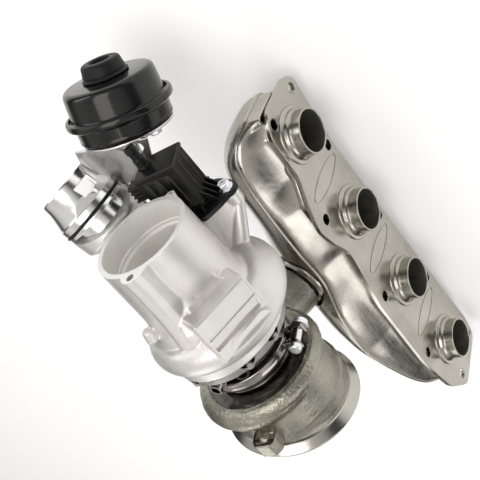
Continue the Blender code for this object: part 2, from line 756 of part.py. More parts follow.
for k, (xa, xb) in enumerate(((-27.0, -19.0), (-2.0, 6.0))):
    b = turned(
        "journal_bearing_%d" % (k + 1), [(xa, 5.25), (xa, 7.95), (xb, 7.95), (xb, 5.25)], ALONG_X, 24, BRASS
    )
    m = b.matrix_world.copy()
    b.parent = axle
    b.matrix_world = m

# ---------------------------------------------------------------- V-band clamp
clamp = turned(
    "v_band_clamp",
    [(-13.3, 33.7), (-13.9, 35.2), (-10.8, 39.2), (-9.0, 40.0), (-5.2, 40.0), (-3.2, 39.0), (-0.4, 35.2), (-1.1, 33.7),
     (-4.3, 37.3), (-10.1, 37.3)],
    ALONG_X, 28, DARK_STEEL,
)
CLAMP_DEG = -9.0
gap_c = polar(-7.2, 38.0, CLAMP_DEG)
cut(clamp, block("clamp_gap", (20, 9.0, 20), frame(gap_c, polar(0, 1, CLAMP_DEG), X_AXIS), cutter=True))
tang = polar(0, 1, CLAMP_DEG + 90)
bolt_c = polar(-7.2, 48.6, CLAMP_DEG)
for t0 in (-6.1, 9.0):
    add(clamp, block("clamp_lug", (9.0, 2.4, 15.2), frame(bolt_c + tang * t0 - polar(0, 3.2, CLAMP_DEG), polar(0, 1, CLAMP_DEG), X_AXIS), cutter=True))
cut(clamp, rod("clamp_bolt_hole", bolt_c - tang * 20, bolt_c + tang * 20, 3.1, 14, cutter=True))
turned(
    "clamp_bolt", [(-16, 0), (-16, 2.9), (10.5, 2.9), (10.5, 5.0), (14.5, 5.0), (15.2, 4.0), (15.2, 0)],
    frame(bolt_c, tang), 18, ZINC,
)
turned(
    "clamp_nut", [(-13.8, 3.2), (-13.8, 5.4), (-13.2, 5.9), (-9.0, 5.9), (-9.0, 7.2), (-7.6, 7.2), (-7.6, 3.2)],
    frame(bolt_c, tang), 12, ZINC,
)

# ---------------------------------------------------------------- compressor housing
def comp_path():
    """Scroll centre line and passage radius, growing towards the outlet duct."""
    pts = []
    n = 17
    for k in range(n + 1):
        f = k / n
        deg = 195.0 - 335.0 * f
        pts.append((polar(COMP_SCROLL_X, 40.5 + 11.5 * f, deg), 7.4 + 9.6 * f))
    tail = [
        (Vector((-64.0, -48.0, -31.0)), 17.3), (Vector((-78.0, -55.0, -30.0)), 17.6),
        (Vector((-96.0, -57.5, -31.0)), 17.8), (Vector((-115.0, -58.5, -32.5)), 18.0),
        (NECK_BASE - NECK_D * 1.0, 18.2), (NECK_BASE + NECK_D * 13.0, 18.4),
    ]
    return pts + tail


CPATH = comp_path()
ch = turned(
    "compressor_housing",
    [
        (INLET_X, 0), (INLET_X, 37.6), (INLET_X + 0.7, INLET_RIM_R), (-90.0, 40.0), (-80.0, 41.5),
        (-73.0, 46.0), (-67.0, 50.0), (-50.0, COMP_BACK_R), (COMP_BACK_X, COMP_BACK_R), (COMP_BACK_X, 0),
    ],
    ALONG_X, 26, CAST_ALU,
)
c_scroll = loft("comp_scroll_skin", path_rings(CPATH[:-1], 4.0, 12), cutter=True)
c_collar = turned(
    "neck_collar", [(-6, 0), (-6, 24.0), (-1, 29.4), (14.0, 29.4), (14.0, 0)], frame(NECK_BASE, NECK_D), 24, cutter=True
)
PAD_DEG = 30.0
c_pad = block(
    "pad_block", (41.0, 50.0, 24.0), frame(polar(-74.5, 46.5, PAD_DEG), polar(0, 1, PAD_DEG), X_AXIS), 1.0, cutter=True
)
lugs = []
for deg, x1, r0, rr in ((72.7, -78.0, 41.0, 6.2), (-77.5, -128.0, 39.0, 5.4), (190.0, -128.0, 39.0, 5.4)):
    lugs.append(rod("inlet_lug_%d" % int(deg), polar(INLET_X + 0.2, r0, deg), polar(x1, 41.0, deg), rr, 14, cutter=True))
VALVE_C = Vector((-108.0, 0.0, -62.0))
c_seat = loft("valve_seat_boss", [ring3(VALVE_C, X_AXIS, 16.0, 18, (0, 1, 0)), ring3((-62.0, 4.0, -46.0), X_AXIS, 15.0, 18, (0, 1, 0))], cutter=True)
VALVE_V = Vector((0.0, 0.966, -0.259)).normalized()
VALVE_W = X_AXIS.cross(VALVE_V)
VALVE_EARS = ((28.4, 0.4), (-30.0, -1.0))
ears = []
for k, (v, w) in enumerate(VALVE_EARS):
    q = VALVE_C + VALVE_V * v + VALVE_W * w
    e = Vector((-70.0, q.y * 0.72, q.z * 0.72))
    ears.append(loft("valve_ear_%d" % k, [ring3(q, X_AXIS, 7.2, 12, (0, 1, 0)), ring3(e, X_AXIS, 9.0, 12, (0, 1, 0))], cutter=True))
EYE = Vector((PIN.x + 0.10, EYE_Y, PIN.z - 0.34))
CAN_C = EYE - ROD_D * CAN_DIST
AF = frame(CAN_C, -ROD_D)          # local +Z points to the cap end


def can_point(a, b, h):
    """A point in the can's frame: a and b across it, h towards its cap."""
    return AF @ (Vector((a, b, h)) * MM) / MM


c_foot = rod("bracket_foot_boss", can_point(14.6, -5, -94), can_point(40, -5, -94), 8.0, 16, cutter=True)
add(ch, c_scroll, c_collar, c_pad, *lugs, c_seat, *ears, c_foot, solver="MANIFOLD")
c_gas = loft("comp_passage", path_rings(CPATH, 0.0, 10), cutter=True)
c_bore = turned(
    "comp_bore",
    [
        (-144, 0), (-144, INLET_BORE_R), (-122, 34.2), (-120, 31.3), (-100, 30.0), (-80, 21.6), (-72, 20.6),
        (-64, 20.6), (-58, 22.0), (-54, 24.6), (-51.6, 27.6), (-51.0, 31.0), (-51.0, 46.8), (-33, 46.8), (-33, 0),
    ],
    ALONG_X, 24, cutter=True,
)
cut(
    ch, c_gas, c_bore,
    turned("neck_socket", [(4.0, 0), (4.0, 22.4), (15, 22.4), (15, 0)], frame(NECK_BASE, NECK_D), 28, cutter=True),
    rod("valve_bore", VALVE_C - X_AXIS * 2, (-84.0, 2.0, -54.0), 10.5, 18, cutter=True),
    rod("bracket_thread", can_point(12, -5, -94), can_point(24, -5, -94), 3.4, 12, cutter=True),
    rod("lug_hole", polar(-144, 41.9, 72.7), polar(-130, 41.9, 72.7), 3.0, 12, cutter=True),
    solver="MANIFOLD",
)

# Outlet adaptor, its seal and spring clip.
NF = frame(NECK_BASE, NECK_D)
turned(
    "outlet_adapter",
    [
        (4.6, 18.6), (4.6, 22.0), (14.4, 22.0), (14.4, 29.4), (17.4, 29.4), (17.4, 27.6), (19.8, 27.6),
        (19.8, 29.4), (26.0, 29.0), (33.0, 26.4), (41.0, 24.2), (49.0, 22.9), (49.0, 20.4), (30.0, 19.6),
    ],
    NF, 24, TURNED_ALU,
)
turned("adapter_oring", [(17.8, 27.9), (17.8, 29.7), (19.4, 29.7), (19.4, 27.9)], NF, 24, RUBBER)

# Recirculation valve on the compressor housing.
VM = Matrix((X_AXIS, VALVE_V, VALVE_W)).transposed().to_4x4()
VM.translation = (VALVE_C + Vector((-2.4, 0, 0))) * MM
vb = block("valve_body", (47.5, 37.0, 29.0), VM @ Matrix.Translation((-24.0 * MM, -4.5 * MM, 0)), 2.0, look=BLACK_PLASTIC)
fl = outline(
    "valve_flange_plate",
    [[(-33, -8), (-24, -12), (-16, -19), (14, -20), (22, -16), (32, -8), (36.5, -3), (36.3, 3), (30, 9), (24.3, 15.4), (11, 25.6), (4, 20.5), (-8, 18), (-18, 17), (-25, 12), (-34, 6), (-37, -1)]],
    4.0, Matrix((VALVE_V, VALVE_W, X_AXIS)).transposed().to_4x4(), cutter=True,
)
fm = fl.matrix_world.copy()
fm.translation = (VALVE_C + Vector((-2.4, 0, 0))) * MM
fl.matrix_world = fm
NIP_A, NIP_B = Vector((-150.0, -15.6, -60.0)), Vector((-177.5, -16.2, -60.5))
add(vb, fl, rod("valve_nipple", NIP_A, NIP_B, 4.8, 16, cutter=True), solver="MANIFOLD")
cut(
    vb,
    rod("valve_cavity", VALVE_C + X_AXIS * 4, VALVE_C - X_AXIS * 40, 10.5, 18, cutter=True),
    rod("nipple_bore", NIP_A.lerp(NIP_B, 0.4), NIP_B + (NIP_B - NIP_A) * 0.2, 3.0, 12, cutter=True),
    solver="MANIFOLD",
)
plunger = turned(
    "valve_plunger", [(-20, 0), (-20, 4.2), (-1.5, 4.2), (-1.5, 9.6), (1.5, 9.6), (2.5, 8.0), (2.5, 0)],
    frame(VALVE_C - X_AXIS * 6, X_AXIS), 24, BLACK_PLASTIC,
)


def coil(name, origin, axis, r, wire_r, length, turns, look, per=10):
    m = frame(origin, axis)
    pts = []
    n = int(turns * per)
    for i in range(n + 1):
        a = 2 * math.pi * i / per
        pts.append(m @ Vector((r * math.cos(a) * MM, r * math.sin(a) * MM, length * i / n * MM)) / MM)
    return wire(name, pts, wire_r, res=1, look=look)


coil("valve_spring", VALVE_C - X_AXIS * 38, X_AXIS, 6.6, 0.8, 22.0, 4.5, BRIGHT_STEEL, 8)

for k, (v, w) in enumerate(VALVE_EARS):
    q = VALVE_C + VALVE_V * v + VALVE_W * w
    turned(
        "valve_screw_%d" % (k + 1), [(0.3, 0), (0.3, 5.6), (1.8, 5.6), (1.8, 4.6), (6.4, 4.6), (6.4, 0)],
        frame(q - X_AXIS * 4.4, -X_AXIS), 12, ZINC,
    )

# ---------------------------------------------------------------- boost actuator
turned(
    "actuator_cover",
    [(0.4, 36.8), (0.4, 42.0), (2.2, 42.0), (2.8, 38.9), (22.0, 37.6), (24.6, 36.2), (25.6, 33.0),
     (26.4, 14.0), (25.0, 14.0), (24.0, 33.0), (22.0, 36.0)],
    AF, 20, BLACK_PAINT,
)
turned(
    "actuator_base",
    [(-1.6, 36.0), (-0.7, 40.9), (-0.7, 42.2), (2.6, 42.4), (3.0, 41.0), (4.0, 41.0), (3.6, 43.4), (2.2, 44.2), (-1.2, 44.2),
     (-2.4, 43.0), (-2.6, 39.4), (-14.5, 38.4), (-16.5, 36.8), (-17.3, 33.0), (-17.3, 6.0), (-15.8, 6.0), (-15.8, 32.0), (-14.5, 35.0)],
    AF, 20, BLACK_PAINT,
)
turned(
    "actuator_diaphragm",
    [(-0.3, 40.4), (-0.3, 36.0), (-4.4, 34.6), (-5.4, 32.2), (-4.4, 29.9), (2.0, 28.3), (2.0, 29.5),
     (-3.4, 31.0), (-4.0, 32.2), (-3.4, 33.6), (0.05, 35.4), (0.05, 40.4)],
    AF, 20, RUBBER,
)
slide_root = bpy.data.objects.new("actuator_slide", None)
slide_root.matrix_world = frame(EYE, ROD_D)
PARTS.objects.link(slide_root)
bpy.context.view_layer.update()


def on_slide(o):
    m = o.matrix_world.copy()
    o.parent = slide_root
    o.matrix_world = m
    return o


piston = turned(
    "actuator_piston", [(2.8, 3.6), (2.8, 27.6), (15.0, 26.2), (15.0, 25.0), (4.2, 26.4), (4.2, 3.6)], AF, 20, BRIGHT_STEEL
)
on_slide(piston)
coil("actuator_spring", CAN_C - ROD_D * 5.8, -ROD_D, 20.5, 1.1, 17.0, 3.5, BRIGHT_STEEL, 8)

rod_a = CAN_C - ROD_D * 6.5
rd = rod("actuator_rod", rod_a, EYE - ROD_D * 6.6, 3.0, 18, look=ZINC)
eye_plate = outline("rod_eye_plate", [circle2(7.4, 20)], 3.0, frame(EYE, -Y_AXIS), cutter=True)
add(rd, eye_plate)
cut(rd, rod("rod_eye_hole", EYE + Y_AXIS * 5, EYE - Y_AXIS * 5, 3.7, 18, cutter=True))
on_slide(rd)
on_slide(turned(
    "rod_locknut", [(40.0, 3.8), (40.0, 6.4), (45.0, 6.4), (45.0, 3.8)], frame(EYE, -ROD_D), 6, ZINC
))
turned(
    "actuator_vent_cap",
    [(26.9, 6.0), (26.9, 18.6), (28.2, 18.8), (29.0, 17.6), (30.4, 17.4), (31.2, 16.6), (38.4, 15.6), (39.6, 13.6),
     (39.6, 8.4), (36.0, 8.0), (33.0, 6.0)],
    AF, 22, RUBBER,
)

# Bracket: a dished sheet under the can with two bent legs to the compressor housing.
bk = turned("actuator_bracket", [(-17.8, 7.0), (-17.8, 37.5), (-20.4, 37.5), (-20.4, 7.0)], AF, 28, SHEET_STEEL)
v_c = can_point(0, 1, 0) - CAN_C


def slab(name, quad, thick):
    """A flat sheet leg from four corners, thickened both ways."""
    q = [Vector(p) for p in quad]
    nrm = (q[1] - q[0]).cross(q[3] - q[0]).normalized() * thick / 2
    return loft(name, [[p - nrm for p in q], [p + nrm for p in q]], cutter=True)


legs = []
for k, quad in enumerate((
    ((30.0, -34.0, -18.9), (31.5, 1.5, -18.9), (22.5, -3.0, -56.0), (18.5, -28.0, -50.0), (26.0, -37.0, -33.0)),
    ((31.5, 1.0, -18.9), (22.8, 34.0, -18.9), (17.5, 27.0, -36.0), (18.5, 10.0, -50.0), (22.5, -3.5, -55.0)),
    ((17.7, -23.0, -45.0), (22.7, -3.5, -54.5), (13.0, 1.0, -83.0), (13.0, -15.0, -83.0)),
    ((13.0, -14.5, -81.5), (13.0, 4.5, -81.5), (13.0, 4.5, -106.0), (13.0, -14.5, -106.0)),
)):
    legs.append(slab("bracket_leg_%d" % k, [can_point(*q) for q in quad], 2.4))
add(bk, *legs, solver="MANIFOLD")
cut(bk, rod("bracket_foot_hole", can_point(6, -5, -94), can_point(20, -5, -94), 3.4, 14, cutter=True), solver="MANIFOLD")
turned(
    "bracket_bolt", [(5.5, 0), (5.5, 5.4), (9.5, 5.8), (11.4, 5.8), (11.4, 3.0), (22.0, 3.0), (22.0, 0)],
    frame(can_point(0, -5, -94), can_point(1, -5, -94) - can_point(0, -5, -94)), 18, ZINC,
)
rod("bracket_nut_1", CAN_C + ROD_D * 20.9 + v_c * 24, CAN_C + ROD_D * 26.0 + v_c * 24, 5.6, 6, look=ZINC)
rod("bracket_nut_2", CAN_C + ROD_D * 20.9 - v_c * 24, CAN_C + ROD_D * 26.0 - v_c * 24, 5.6, 6, look=ZINC)

# ---------------------------------------------------------------- fittings
turned("oil_feed_fitting", [(35.3, 3.4), (35.3, 5.9), (41.0, 5.9), (41.0, 5.2), (49.0, 5.2), (49.0, 3.4)], frame((BOSS_X, 0, 0), Z_AXIS), 18, ZINC)
dr = outline("oil_drain_flange", [
    [(12.2 * math.cos(math.radians(a)), 19.0 * math.sin(math.radians(a))) for a in range(0, 360, 20)],
    circle2(5.2, 16)], 4.0, frame((BOSS_X, 0, -45.2), -Z_AXIS, (1, 0, 0)), ZINC)

# ---------------------------------------------------------------- move to the origin
bpy.context.view_layer.update()
for o in list(bpy.data.objects):
    if o.parent is None:
        o.location = o.location - DATUM * MM
bpy.context.view_layer.update()
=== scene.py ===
"""Turbocharger with a sheet-metal manifold: fine surfaces over the CAD frame.

Lengths are in mm and become metres when meshes are made. The origin is on the
rotor axis, +X towards the turbine outlet, +Y towards the head, +Z up. Profiles
are (height, radius) along the piece's own axis. Material lengths are in metres.
"""

import json
import math

import bmesh
import bpy
from mathutils import Matrix, Vector, noise

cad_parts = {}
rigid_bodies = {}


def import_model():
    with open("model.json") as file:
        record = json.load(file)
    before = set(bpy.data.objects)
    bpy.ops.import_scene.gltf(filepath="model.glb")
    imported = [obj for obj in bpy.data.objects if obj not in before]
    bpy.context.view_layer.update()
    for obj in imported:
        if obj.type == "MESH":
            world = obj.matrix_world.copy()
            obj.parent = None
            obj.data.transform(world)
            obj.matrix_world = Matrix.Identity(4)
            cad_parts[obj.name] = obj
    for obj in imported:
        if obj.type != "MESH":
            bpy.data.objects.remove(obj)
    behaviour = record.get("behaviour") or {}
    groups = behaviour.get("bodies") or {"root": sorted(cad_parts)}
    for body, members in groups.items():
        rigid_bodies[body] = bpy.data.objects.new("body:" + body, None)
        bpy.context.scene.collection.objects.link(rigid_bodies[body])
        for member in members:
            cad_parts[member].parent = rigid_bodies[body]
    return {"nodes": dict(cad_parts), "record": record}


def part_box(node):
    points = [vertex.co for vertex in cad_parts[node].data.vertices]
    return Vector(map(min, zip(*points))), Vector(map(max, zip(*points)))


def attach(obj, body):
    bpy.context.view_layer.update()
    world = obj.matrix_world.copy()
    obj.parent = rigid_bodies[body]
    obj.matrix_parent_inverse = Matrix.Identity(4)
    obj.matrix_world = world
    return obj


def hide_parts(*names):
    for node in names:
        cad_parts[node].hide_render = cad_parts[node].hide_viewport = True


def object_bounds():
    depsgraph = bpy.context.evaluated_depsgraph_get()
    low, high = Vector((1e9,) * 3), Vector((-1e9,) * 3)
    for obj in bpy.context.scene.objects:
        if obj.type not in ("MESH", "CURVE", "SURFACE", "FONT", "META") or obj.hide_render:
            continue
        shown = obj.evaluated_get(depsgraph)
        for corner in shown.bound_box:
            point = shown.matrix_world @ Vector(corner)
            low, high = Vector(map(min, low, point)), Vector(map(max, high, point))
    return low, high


for old in list(bpy.data.objects):
    bpy.data.objects.remove(old, do_unlink=True)

frame_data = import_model()
CAD_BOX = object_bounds()
NODES = frame_data["nodes"]
RECORD = frame_data["record"]
BODY_OF = {node: body for body, nodes in RECORD["behaviour"]["bodies"].items() for node in nodes}
SLOT_OF = {part["node"]: part["material_slot"] for part in RECORD["subparts"]}

MM = 0.001
X_AXIS = Vector((1.0, 0.0, 0.0))
Y_AXIS = Vector((0.0, 1.0, 0.0))
Z_AXIS = Vector((0.0, 0.0, 1.0))

WORK = bpy.data.collections.new("work")
bpy.context.scene.collection.children.link(WORK)


# ---------------------------------------------------------------- node materials
class Nodes:
    """A node tree with helpers for the few patterns the looks need."""

    def __init__(self, tree):
        self.tree = tree

    def feed(self, socket, value):
        """Links a socket to value, or sets a number, vector or opaque colour."""
        if isinstance(value, bpy.types.NodeSocket):
            self.tree.links.new(value, socket)
        elif isinstance(value, tuple):
            socket.default_value = (*value, 1.0)[: len(socket.default_value)]
        else:
            socket.default_value = value

    def node(self, kind, inputs, **settings):
        """Makes a node and returns its outputs."""
        node = self.tree.nodes.new(kind)
        for key, value in settings.items():
            setattr(node, key, value)
        for key, value in inputs.items():
            self.feed(node.inputs[key], value)
        return node.outputs

    def span(self, value, start, end, low=0.0, high=1.0):
        """Maps start..end to low..high."""
        limits = {"From Min": start, "From Max": end, "To Min": low, "To Max": high}
        return self.node("ShaderNodeMapRange", {"Value": value, **limits})["Result"]

    def maths(self, operation, *values):
        return self.node("ShaderNodeMath", dict(enumerate(values)), operation=operation)[0]


class Look(Nodes):
    """A material laid out in object coordinates."""

    def __init__(self, name):
        self.material = bpy.data.materials.new(name)
        self.material.use_nodes = True
        super().__init__(self.material.node_tree)
        self.coords = self.node("ShaderNodeTexCoord", {})["Object"]

    def stretch(self, scales):
        return self.node("ShaderNodeMapping", {"Scale": scales, "Vector": self.coords})["Vector"]

    def noise(self, scale, detail=2.0, rough=0.5, coords=None, distortion=0.0):
        return self.node("ShaderNodeTexNoise", {
            "Scale": scale, "Detail": detail, "Roughness": rough,
            "Distortion": distortion, "Vector": coords or self.coords,
        })["Fac"]

    def cells(self, scale):
        inputs = {"Scale": scale, "Vector": self.coords}
        return self.node("ShaderNodeTexVoronoi", inputs)["Distance"]

    def mix(self, amount, base, other):
        """Colour mix; sockets 0, 6 and 7 are the factor and the two colours."""
        return self.node("ShaderNodeMix", {0: amount, 6: base, 7: other}, data_type="RGBA")[2]

    def rings(self, scale):
        """Turning marks about local Z: coordinates of radius and height only."""
        x, y, z = self.node("ShaderNodeSeparateXYZ", {0: self.coords})
        squares = [self.maths("MULTIPLY", side, side) for side in (x, y)]
        radius = self.maths("SQRT", self.maths("ADD", *squares))
        scaled = [self.maths("MULTIPLY", value, scale) for value in (radius, z)]
        return self.node("ShaderNodeCombineXYZ", dict(enumerate(scaled)))[0]

    def edges(self, amount, start=0.505, end=0.56):
        """Mask of the convex edges."""
        pointed = self.node("ShaderNodeNewGeometry", {})["Pointiness"]
        return self.maths("MULTIPLY", self.span(pointed, start, end), amount)

    def bump(self, height, strength, distance, under=None):
        inputs = {"Strength": strength, "Distance": distance, "Height": height}
        if under is not None:
            inputs["Normal"] = under
        return self.node("ShaderNodeBump", inputs)["Normal"]

    def finish(self, colour, rough, metal, **more):
        """Sets the surface shader; underscores in the extra names are spaces."""
        inputs = {"Base Color": colour, "Roughness": rough, "Metallic": metal}
        inputs.update({key.replace("_", " "): value for key, value in more.items()})
        for key, value in inputs.items():
            self.feed(self.tree.nodes["Principled BSDF"].inputs[key], value)
        return self.material


def shade(colour, factor):
    return tuple(min(1.0, value * factor) for value in colour)


def cast_metal(name, colour, rough, metal, grain=900.0, depth=0.0002, strength=0.5,
               blotch=45.0, wear=0.25, spread=0.10):
    """Sandy skin; grain and blotch are noise scales, spread the change of tone."""
    look = Look(name)
    broad = look.noise(scale=blotch, detail=3.0, rough=0.55)
    fine = look.noise(scale=grain, detail=3.0, rough=0.6)
    cells = look.cells(scale=grain * 0.8)
    dark, light = shade(colour, 1 - spread), shade(colour, 1 + spread * 0.6)
    tone = look.mix(look.span(broad, start=0.35, end=0.65), dark, light)
    tone = look.mix(look.span(fine, start=0.35, end=0.7, high=0.35), tone, shade(colour, 0.8))
    tone = look.mix(look.edges(wear), tone, shade(colour, 1.3))
    lumps = look.noise(scale=grain * 0.16)
    sand = look.maths("ADD", fine, look.maths("MULTIPLY", cells, 0.5))
    normal = look.bump(lumps, strength=strength * 0.5, distance=depth * 2.2)
    normal = look.bump(sand, strength, depth, under=normal)
    rough = look.span(broad, start=0.3, end=0.7, low=rough - 0.05, high=rough + 0.08)
    return look.finish(tone, rough, metal, Normal=normal)


def turned_metal(name, colour, rough, marks=2600.0, strength=0.25, spread=0.06):
    """Fine rings left by turning; marks is their noise scale."""
    look = Look(name)
    ring = look.noise(scale=1.0, detail=3.0, rough=0.7, coords=look.rings(marks))
    broad = look.noise(scale=60.0)
    dark, light = shade(colour, 1 - spread), shade(colour, 1 + spread)
    tone = look.mix(look.span(ring, start=0.3, end=0.7), dark, light)
    tone = look.mix(look.span(broad, start=0.4, end=0.7, high=0.3), tone, shade(colour, 0.86))
    rough = look.span(ring, start=0.3, end=0.7, low=rough - 0.05, high=rough + 0.1)
    return look.finish(tone, rough, 1.0, Normal=look.bump(ring, strength, distance=0.00012))


def sheet_metal(name, colour, rough, stretch=(40.0, 60.0, 900.0), strength=0.12):
    """Brushed sheet with broad patches and smut; stretch sets the brush direction."""
    look = Look(name)
    brushed = look.noise(scale=1.0, detail=4.0, rough=0.65, coords=look.stretch(stretch))
    broad = look.noise(scale=26.0, detail=3.0, distortion=0.4)
    wave = look.noise(scale=70.0)
    smut = look.noise(scale=140.0, detail=5.0, rough=0.7)
    tone = look.mix(look.span(broad, start=0.35, end=0.68), colour, shade(colour, 0.8))
    tone = look.mix(look.span(brushed, start=0.3, end=0.75, high=0.4), tone, shade(colour, 1.18))
    tone = look.mix(look.span(smut, start=0.58, end=0.75, high=0.35), tone, shade(colour, 0.55))
    tone = look.mix(look.edges(0.3, start=0.51, end=0.58), tone, shade(colour, 1.35))
    normal = look.bump(wave, strength=0.25, distance=0.0008)
    normal = look.bump(brushed, strength, distance=0.0001, under=normal)
    patches = look.span(broad, start=0.3, end=0.7, low=rough - 0.06, high=rough + 0.08)
    strokes = look.span(brushed, start=0.3, end=0.7, low=-0.04, high=0.05)
    return look.finish(tone, look.maths("ADD", patches, strokes), 1.0, Normal=normal)


def black_finish(name, colour, rough, peel=500.0, strength=0.2, wear=0.0, coat=0.0):
    """Paint, plastic or rubber with a little dust; peel is the skin's noise scale."""
    look = Look(name)
    skin = look.noise(scale=peel)
    broad = look.noise(scale=40.0, detail=3.0)
    dust = look.noise(scale=1300.0, detail=3.0, rough=0.7)
    tone = look.mix(look.span(dust, start=0.58, end=0.8, high=0.4), colour, shade(colour, 2.2))
    if wear:
        tone = look.mix(look.edges(wear, start=0.53, end=0.6), tone, (0.22, 0.22, 0.22))
    rough = look.span(broad, start=0.3, end=0.7, low=rough - 0.05, high=rough + 0.1)
    normal = look.bump(skin, strength, distance=0.00015)
    return look.finish(tone, rough, 0.0, Normal=normal, Coat_Weight=coat, Specular_IOR_Level=0.28)


# One look for each material slot of the CAD record.
LOOKS = {
    "cast_alu": cast_metal(
        "cast_alu_fine", (0.80, 0.78, 0.745), rough=0.43, metal=0.82, grain=1500.0,
        depth=0.00012, strength=0.45, blotch=40.0, wear=0.3, spread=0.05),
    "turned_alu": turned_metal("turned_alu_fine", (0.88, 0.88, 0.885), rough=0.17),
    "cast_steel": cast_metal(
        "cast_steel_fine", (0.36, 0.345, 0.29), rough=0.33, metal=1.0, grain=700.0,
        depth=0.0004, strength=0.75, wear=0.6, spread=0.28),
    "cast_iron": cast_metal(
        "cast_iron_fine", (0.36, 0.35, 0.33), rough=0.42, metal=1.0,
        depth=0.0003, strength=0.6, blotch=60.0, wear=0.4, spread=0.15),
    "sheet_steel": sheet_metal("sheet_steel_fine", (0.46, 0.44, 0.392), rough=0.23),
    "bright_steel": turned_metal("bright_steel_fine", (0.75, 0.74, 0.73), rough=0.2),
    "dark_steel": sheet_metal(
        "dark_steel_fine", (0.33, 0.31, 0.29), rough=0.13, stretch=(700.0, 40.0, 40.0),
        strength=0.1),
    "zinc": cast_metal(
        "zinc_fine", (0.80, 0.81, 0.86), rough=0.2, metal=1.0, grain=1400.0,
        depth=0.00006, strength=0.3, blotch=150.0, wear=0.3),
    "black_paint": black_finish(
        "black_paint_fine", (0.006, 0.006, 0.0065), rough=0.22, peel=420.0, strength=0.12,
        wear=0.3, coat=0.35),
    "black_plastic": black_finish(
        "black_plastic_fine", (0.007, 0.0065, 0.007), rough=0.34, peel=900.0, strength=0.25,
        wear=0.16),
    "rubber": black_finish(
        "rubber_fine", (0.008, 0.008, 0.009), rough=0.5, peel=800.0, strength=0.3),
    "brass": turned_metal("brass_fine", (0.72, 0.52, 0.24), rough=0.25),
    "machined": turned_metal("machined_edge", (0.80, 0.79, 0.76), rough=0.2),
}
# Looks for single pieces or for a few faces of a piece.
LIGHT_SHEET = sheet_metal(
    "light_sheet", (0.76, 0.76, 0.74), rough=0.40, stretch=(60.0, 300.0, 60.0), strength=0.08)
# A darker look for the inside of the port sleeves' bores.
DARK_BORE_LOOK = cast_metal(
    "darker_bore", (0.24, 0.235, 0.20), rough=0.45, metal=0.9, strength=0.6, blotch=60.0,
    wear=0.2, spread=0.2)
OUTLET_RING = turned_metal("outlet_ring", (0.50, 0.485, 0.44), rough=0.17, marks=2200.0)
# Painted shade: a near-black look for the turbine's shoulder behind the V-band, where the gap
# lies in shadow.
SHOULDER_SHADE = sheet_metal(
    "shoulder_painted_shade", (0.12, 0.114, 0.10), rough=0.2, stretch=(600.0, 50.0, 50.0))
# Painted shade: a near-black look for the lug's sunk face, which faces away from the light.
LUG_FACE_SHADE = cast_metal(
    "lug_face_painted_shade", (0.07, 0.066, 0.056), rough=0.38, metal=1.0, grain=800.0, depth=0.0003,
    blotch=60.0, wear=0.4, spread=0.2)
# Painted shade: a near-black look for the bearing housing's waist and screw pockets, which lie in
# shadow.
POCKET_SHADE = cast_metal(
    "pocket_painted_shade", (0.05, 0.05, 0.048), rough=0.5, metal=0.9, depth=0.0003, strength=0.4,
    blotch=60.0, wear=0.2, spread=0.2)
BORE_ALU = cast_metal(
    "bore_alu", (0.90, 0.885, 0.85), rough=0.40, metal=0.45, grain=1600.0, depth=0.00006,
    strength=0.2, blotch=22.0, wear=0.3, spread=0.06)


# ---------------------------------------------------------------- frames and numbers
def basis(x, y, z, origin=(0, 0, 0)):
    """Matrix with the given axes and its origin in mm."""
    matrix = Matrix((x, y, z)).transposed().to_4x4()
    matrix.translation = Vector(origin) * MM
    return matrix


def axis_frame(origin, axis, near=(0.0, 0.0, 1.0)):
    """Frame with Z along axis and X as close to near as it can be."""
    z = Vector(axis).normalized()
    hint = Vector(near)
    if abs(z.dot(hint.normalized())) > 0.95:
        hint = X_AXIS
    x = (hint - z * hint.dot(z)).normalized()
    return basis(x, z.cross(x), z, origin)


ALONG_X = axis_frame((0, 0, 0), X_AXIS)


def place(x, y, z):
    return Matrix.Translation((x * MM, y * MM, z * MM))


def at(matrix, x, y, z):
    """matrix moved by (x, y, z) mm in its own axes."""
    return matrix @ place(x, y, z)


def polar(x, radius, deg):
    """Point round the rotor axis; 0 degrees is +Y and 90 is +Z."""
    angle = math.radians(deg)
    return Vector((x, radius * math.cos(angle), radius * math.sin(angle)))


def off_axis(point):
    return math.hypot(point.y, point.z)


def smooth_step(t):
    t = max(0.0, min(1.0, t))
    return t * t * (3 - 2 * t)


def table(x, rows):
    """Straight-line value at x in rows of (x, value)."""
    if x <= rows[0][0]:
        return rows[0][1]
    for (x0, y0), (x1, y1) in zip(rows, rows[1:]):
        if x <= x1:
            return y0 + (y1 - y0) * (x - x0) / (x1 - x0)
    return rows[-1][1]


def spline(x, rows):
    """Smooth (Catmull-Rom) value at x in rows of (x, value)."""
    if x <= rows[0][0]:
        return rows[0][1]
    for i, ((x0, y0), (x1, y1)) in enumerate(zip(rows, rows[1:])):
        if x <= x1:
            gap = x1 - x0
            slope0 = slope1 = (y1 - y0) / gap
            if i:
                slope0 = (y1 - rows[i - 1][1]) / (x1 - rows[i - 1][0])
            if i < len(rows) - 2:
                slope1 = (rows[i + 2][1] - y0) / (rows[i + 2][0] - x0)
            t = (x - x0) / gap
            return ((2 * t ** 3 - 3 * t * t + 1) * y0 + (t ** 3 - 2 * t * t + t) * gap * slope0
                    + (3 * t * t - 2 * t ** 3) * y1 + (t ** 3 - t * t) * gap * slope1)
    return rows[-1][1]


def circle(radius, count, x=0.0, y=0.0):
    angles = [2 * math.pi * i / count for i in range(count)]
    return [(x + radius * math.cos(a), y + radius * math.sin(a)) for a in angles]


def arc(radius, start, stop, x=0.0):
    """Points every 10 degrees about (x, 0), leaving out stop."""
    angles = [math.radians(deg) for deg in range(start, stop, 10)]
    return [(x + radius * math.cos(a), radius * math.sin(a)) for a in angles]


# ---------------------------------------------------------------- meshes
def from_bm(bm, matrix=None, name="part"):
    mesh = bpy.data.meshes.new(name)
    bm.to_mesh(mesh)
    bm.free()
    part = bpy.data.objects.new(name, mesh)
    part.matrix_world = matrix or Matrix.Identity(4)
    WORK.objects.link(part)
    return part


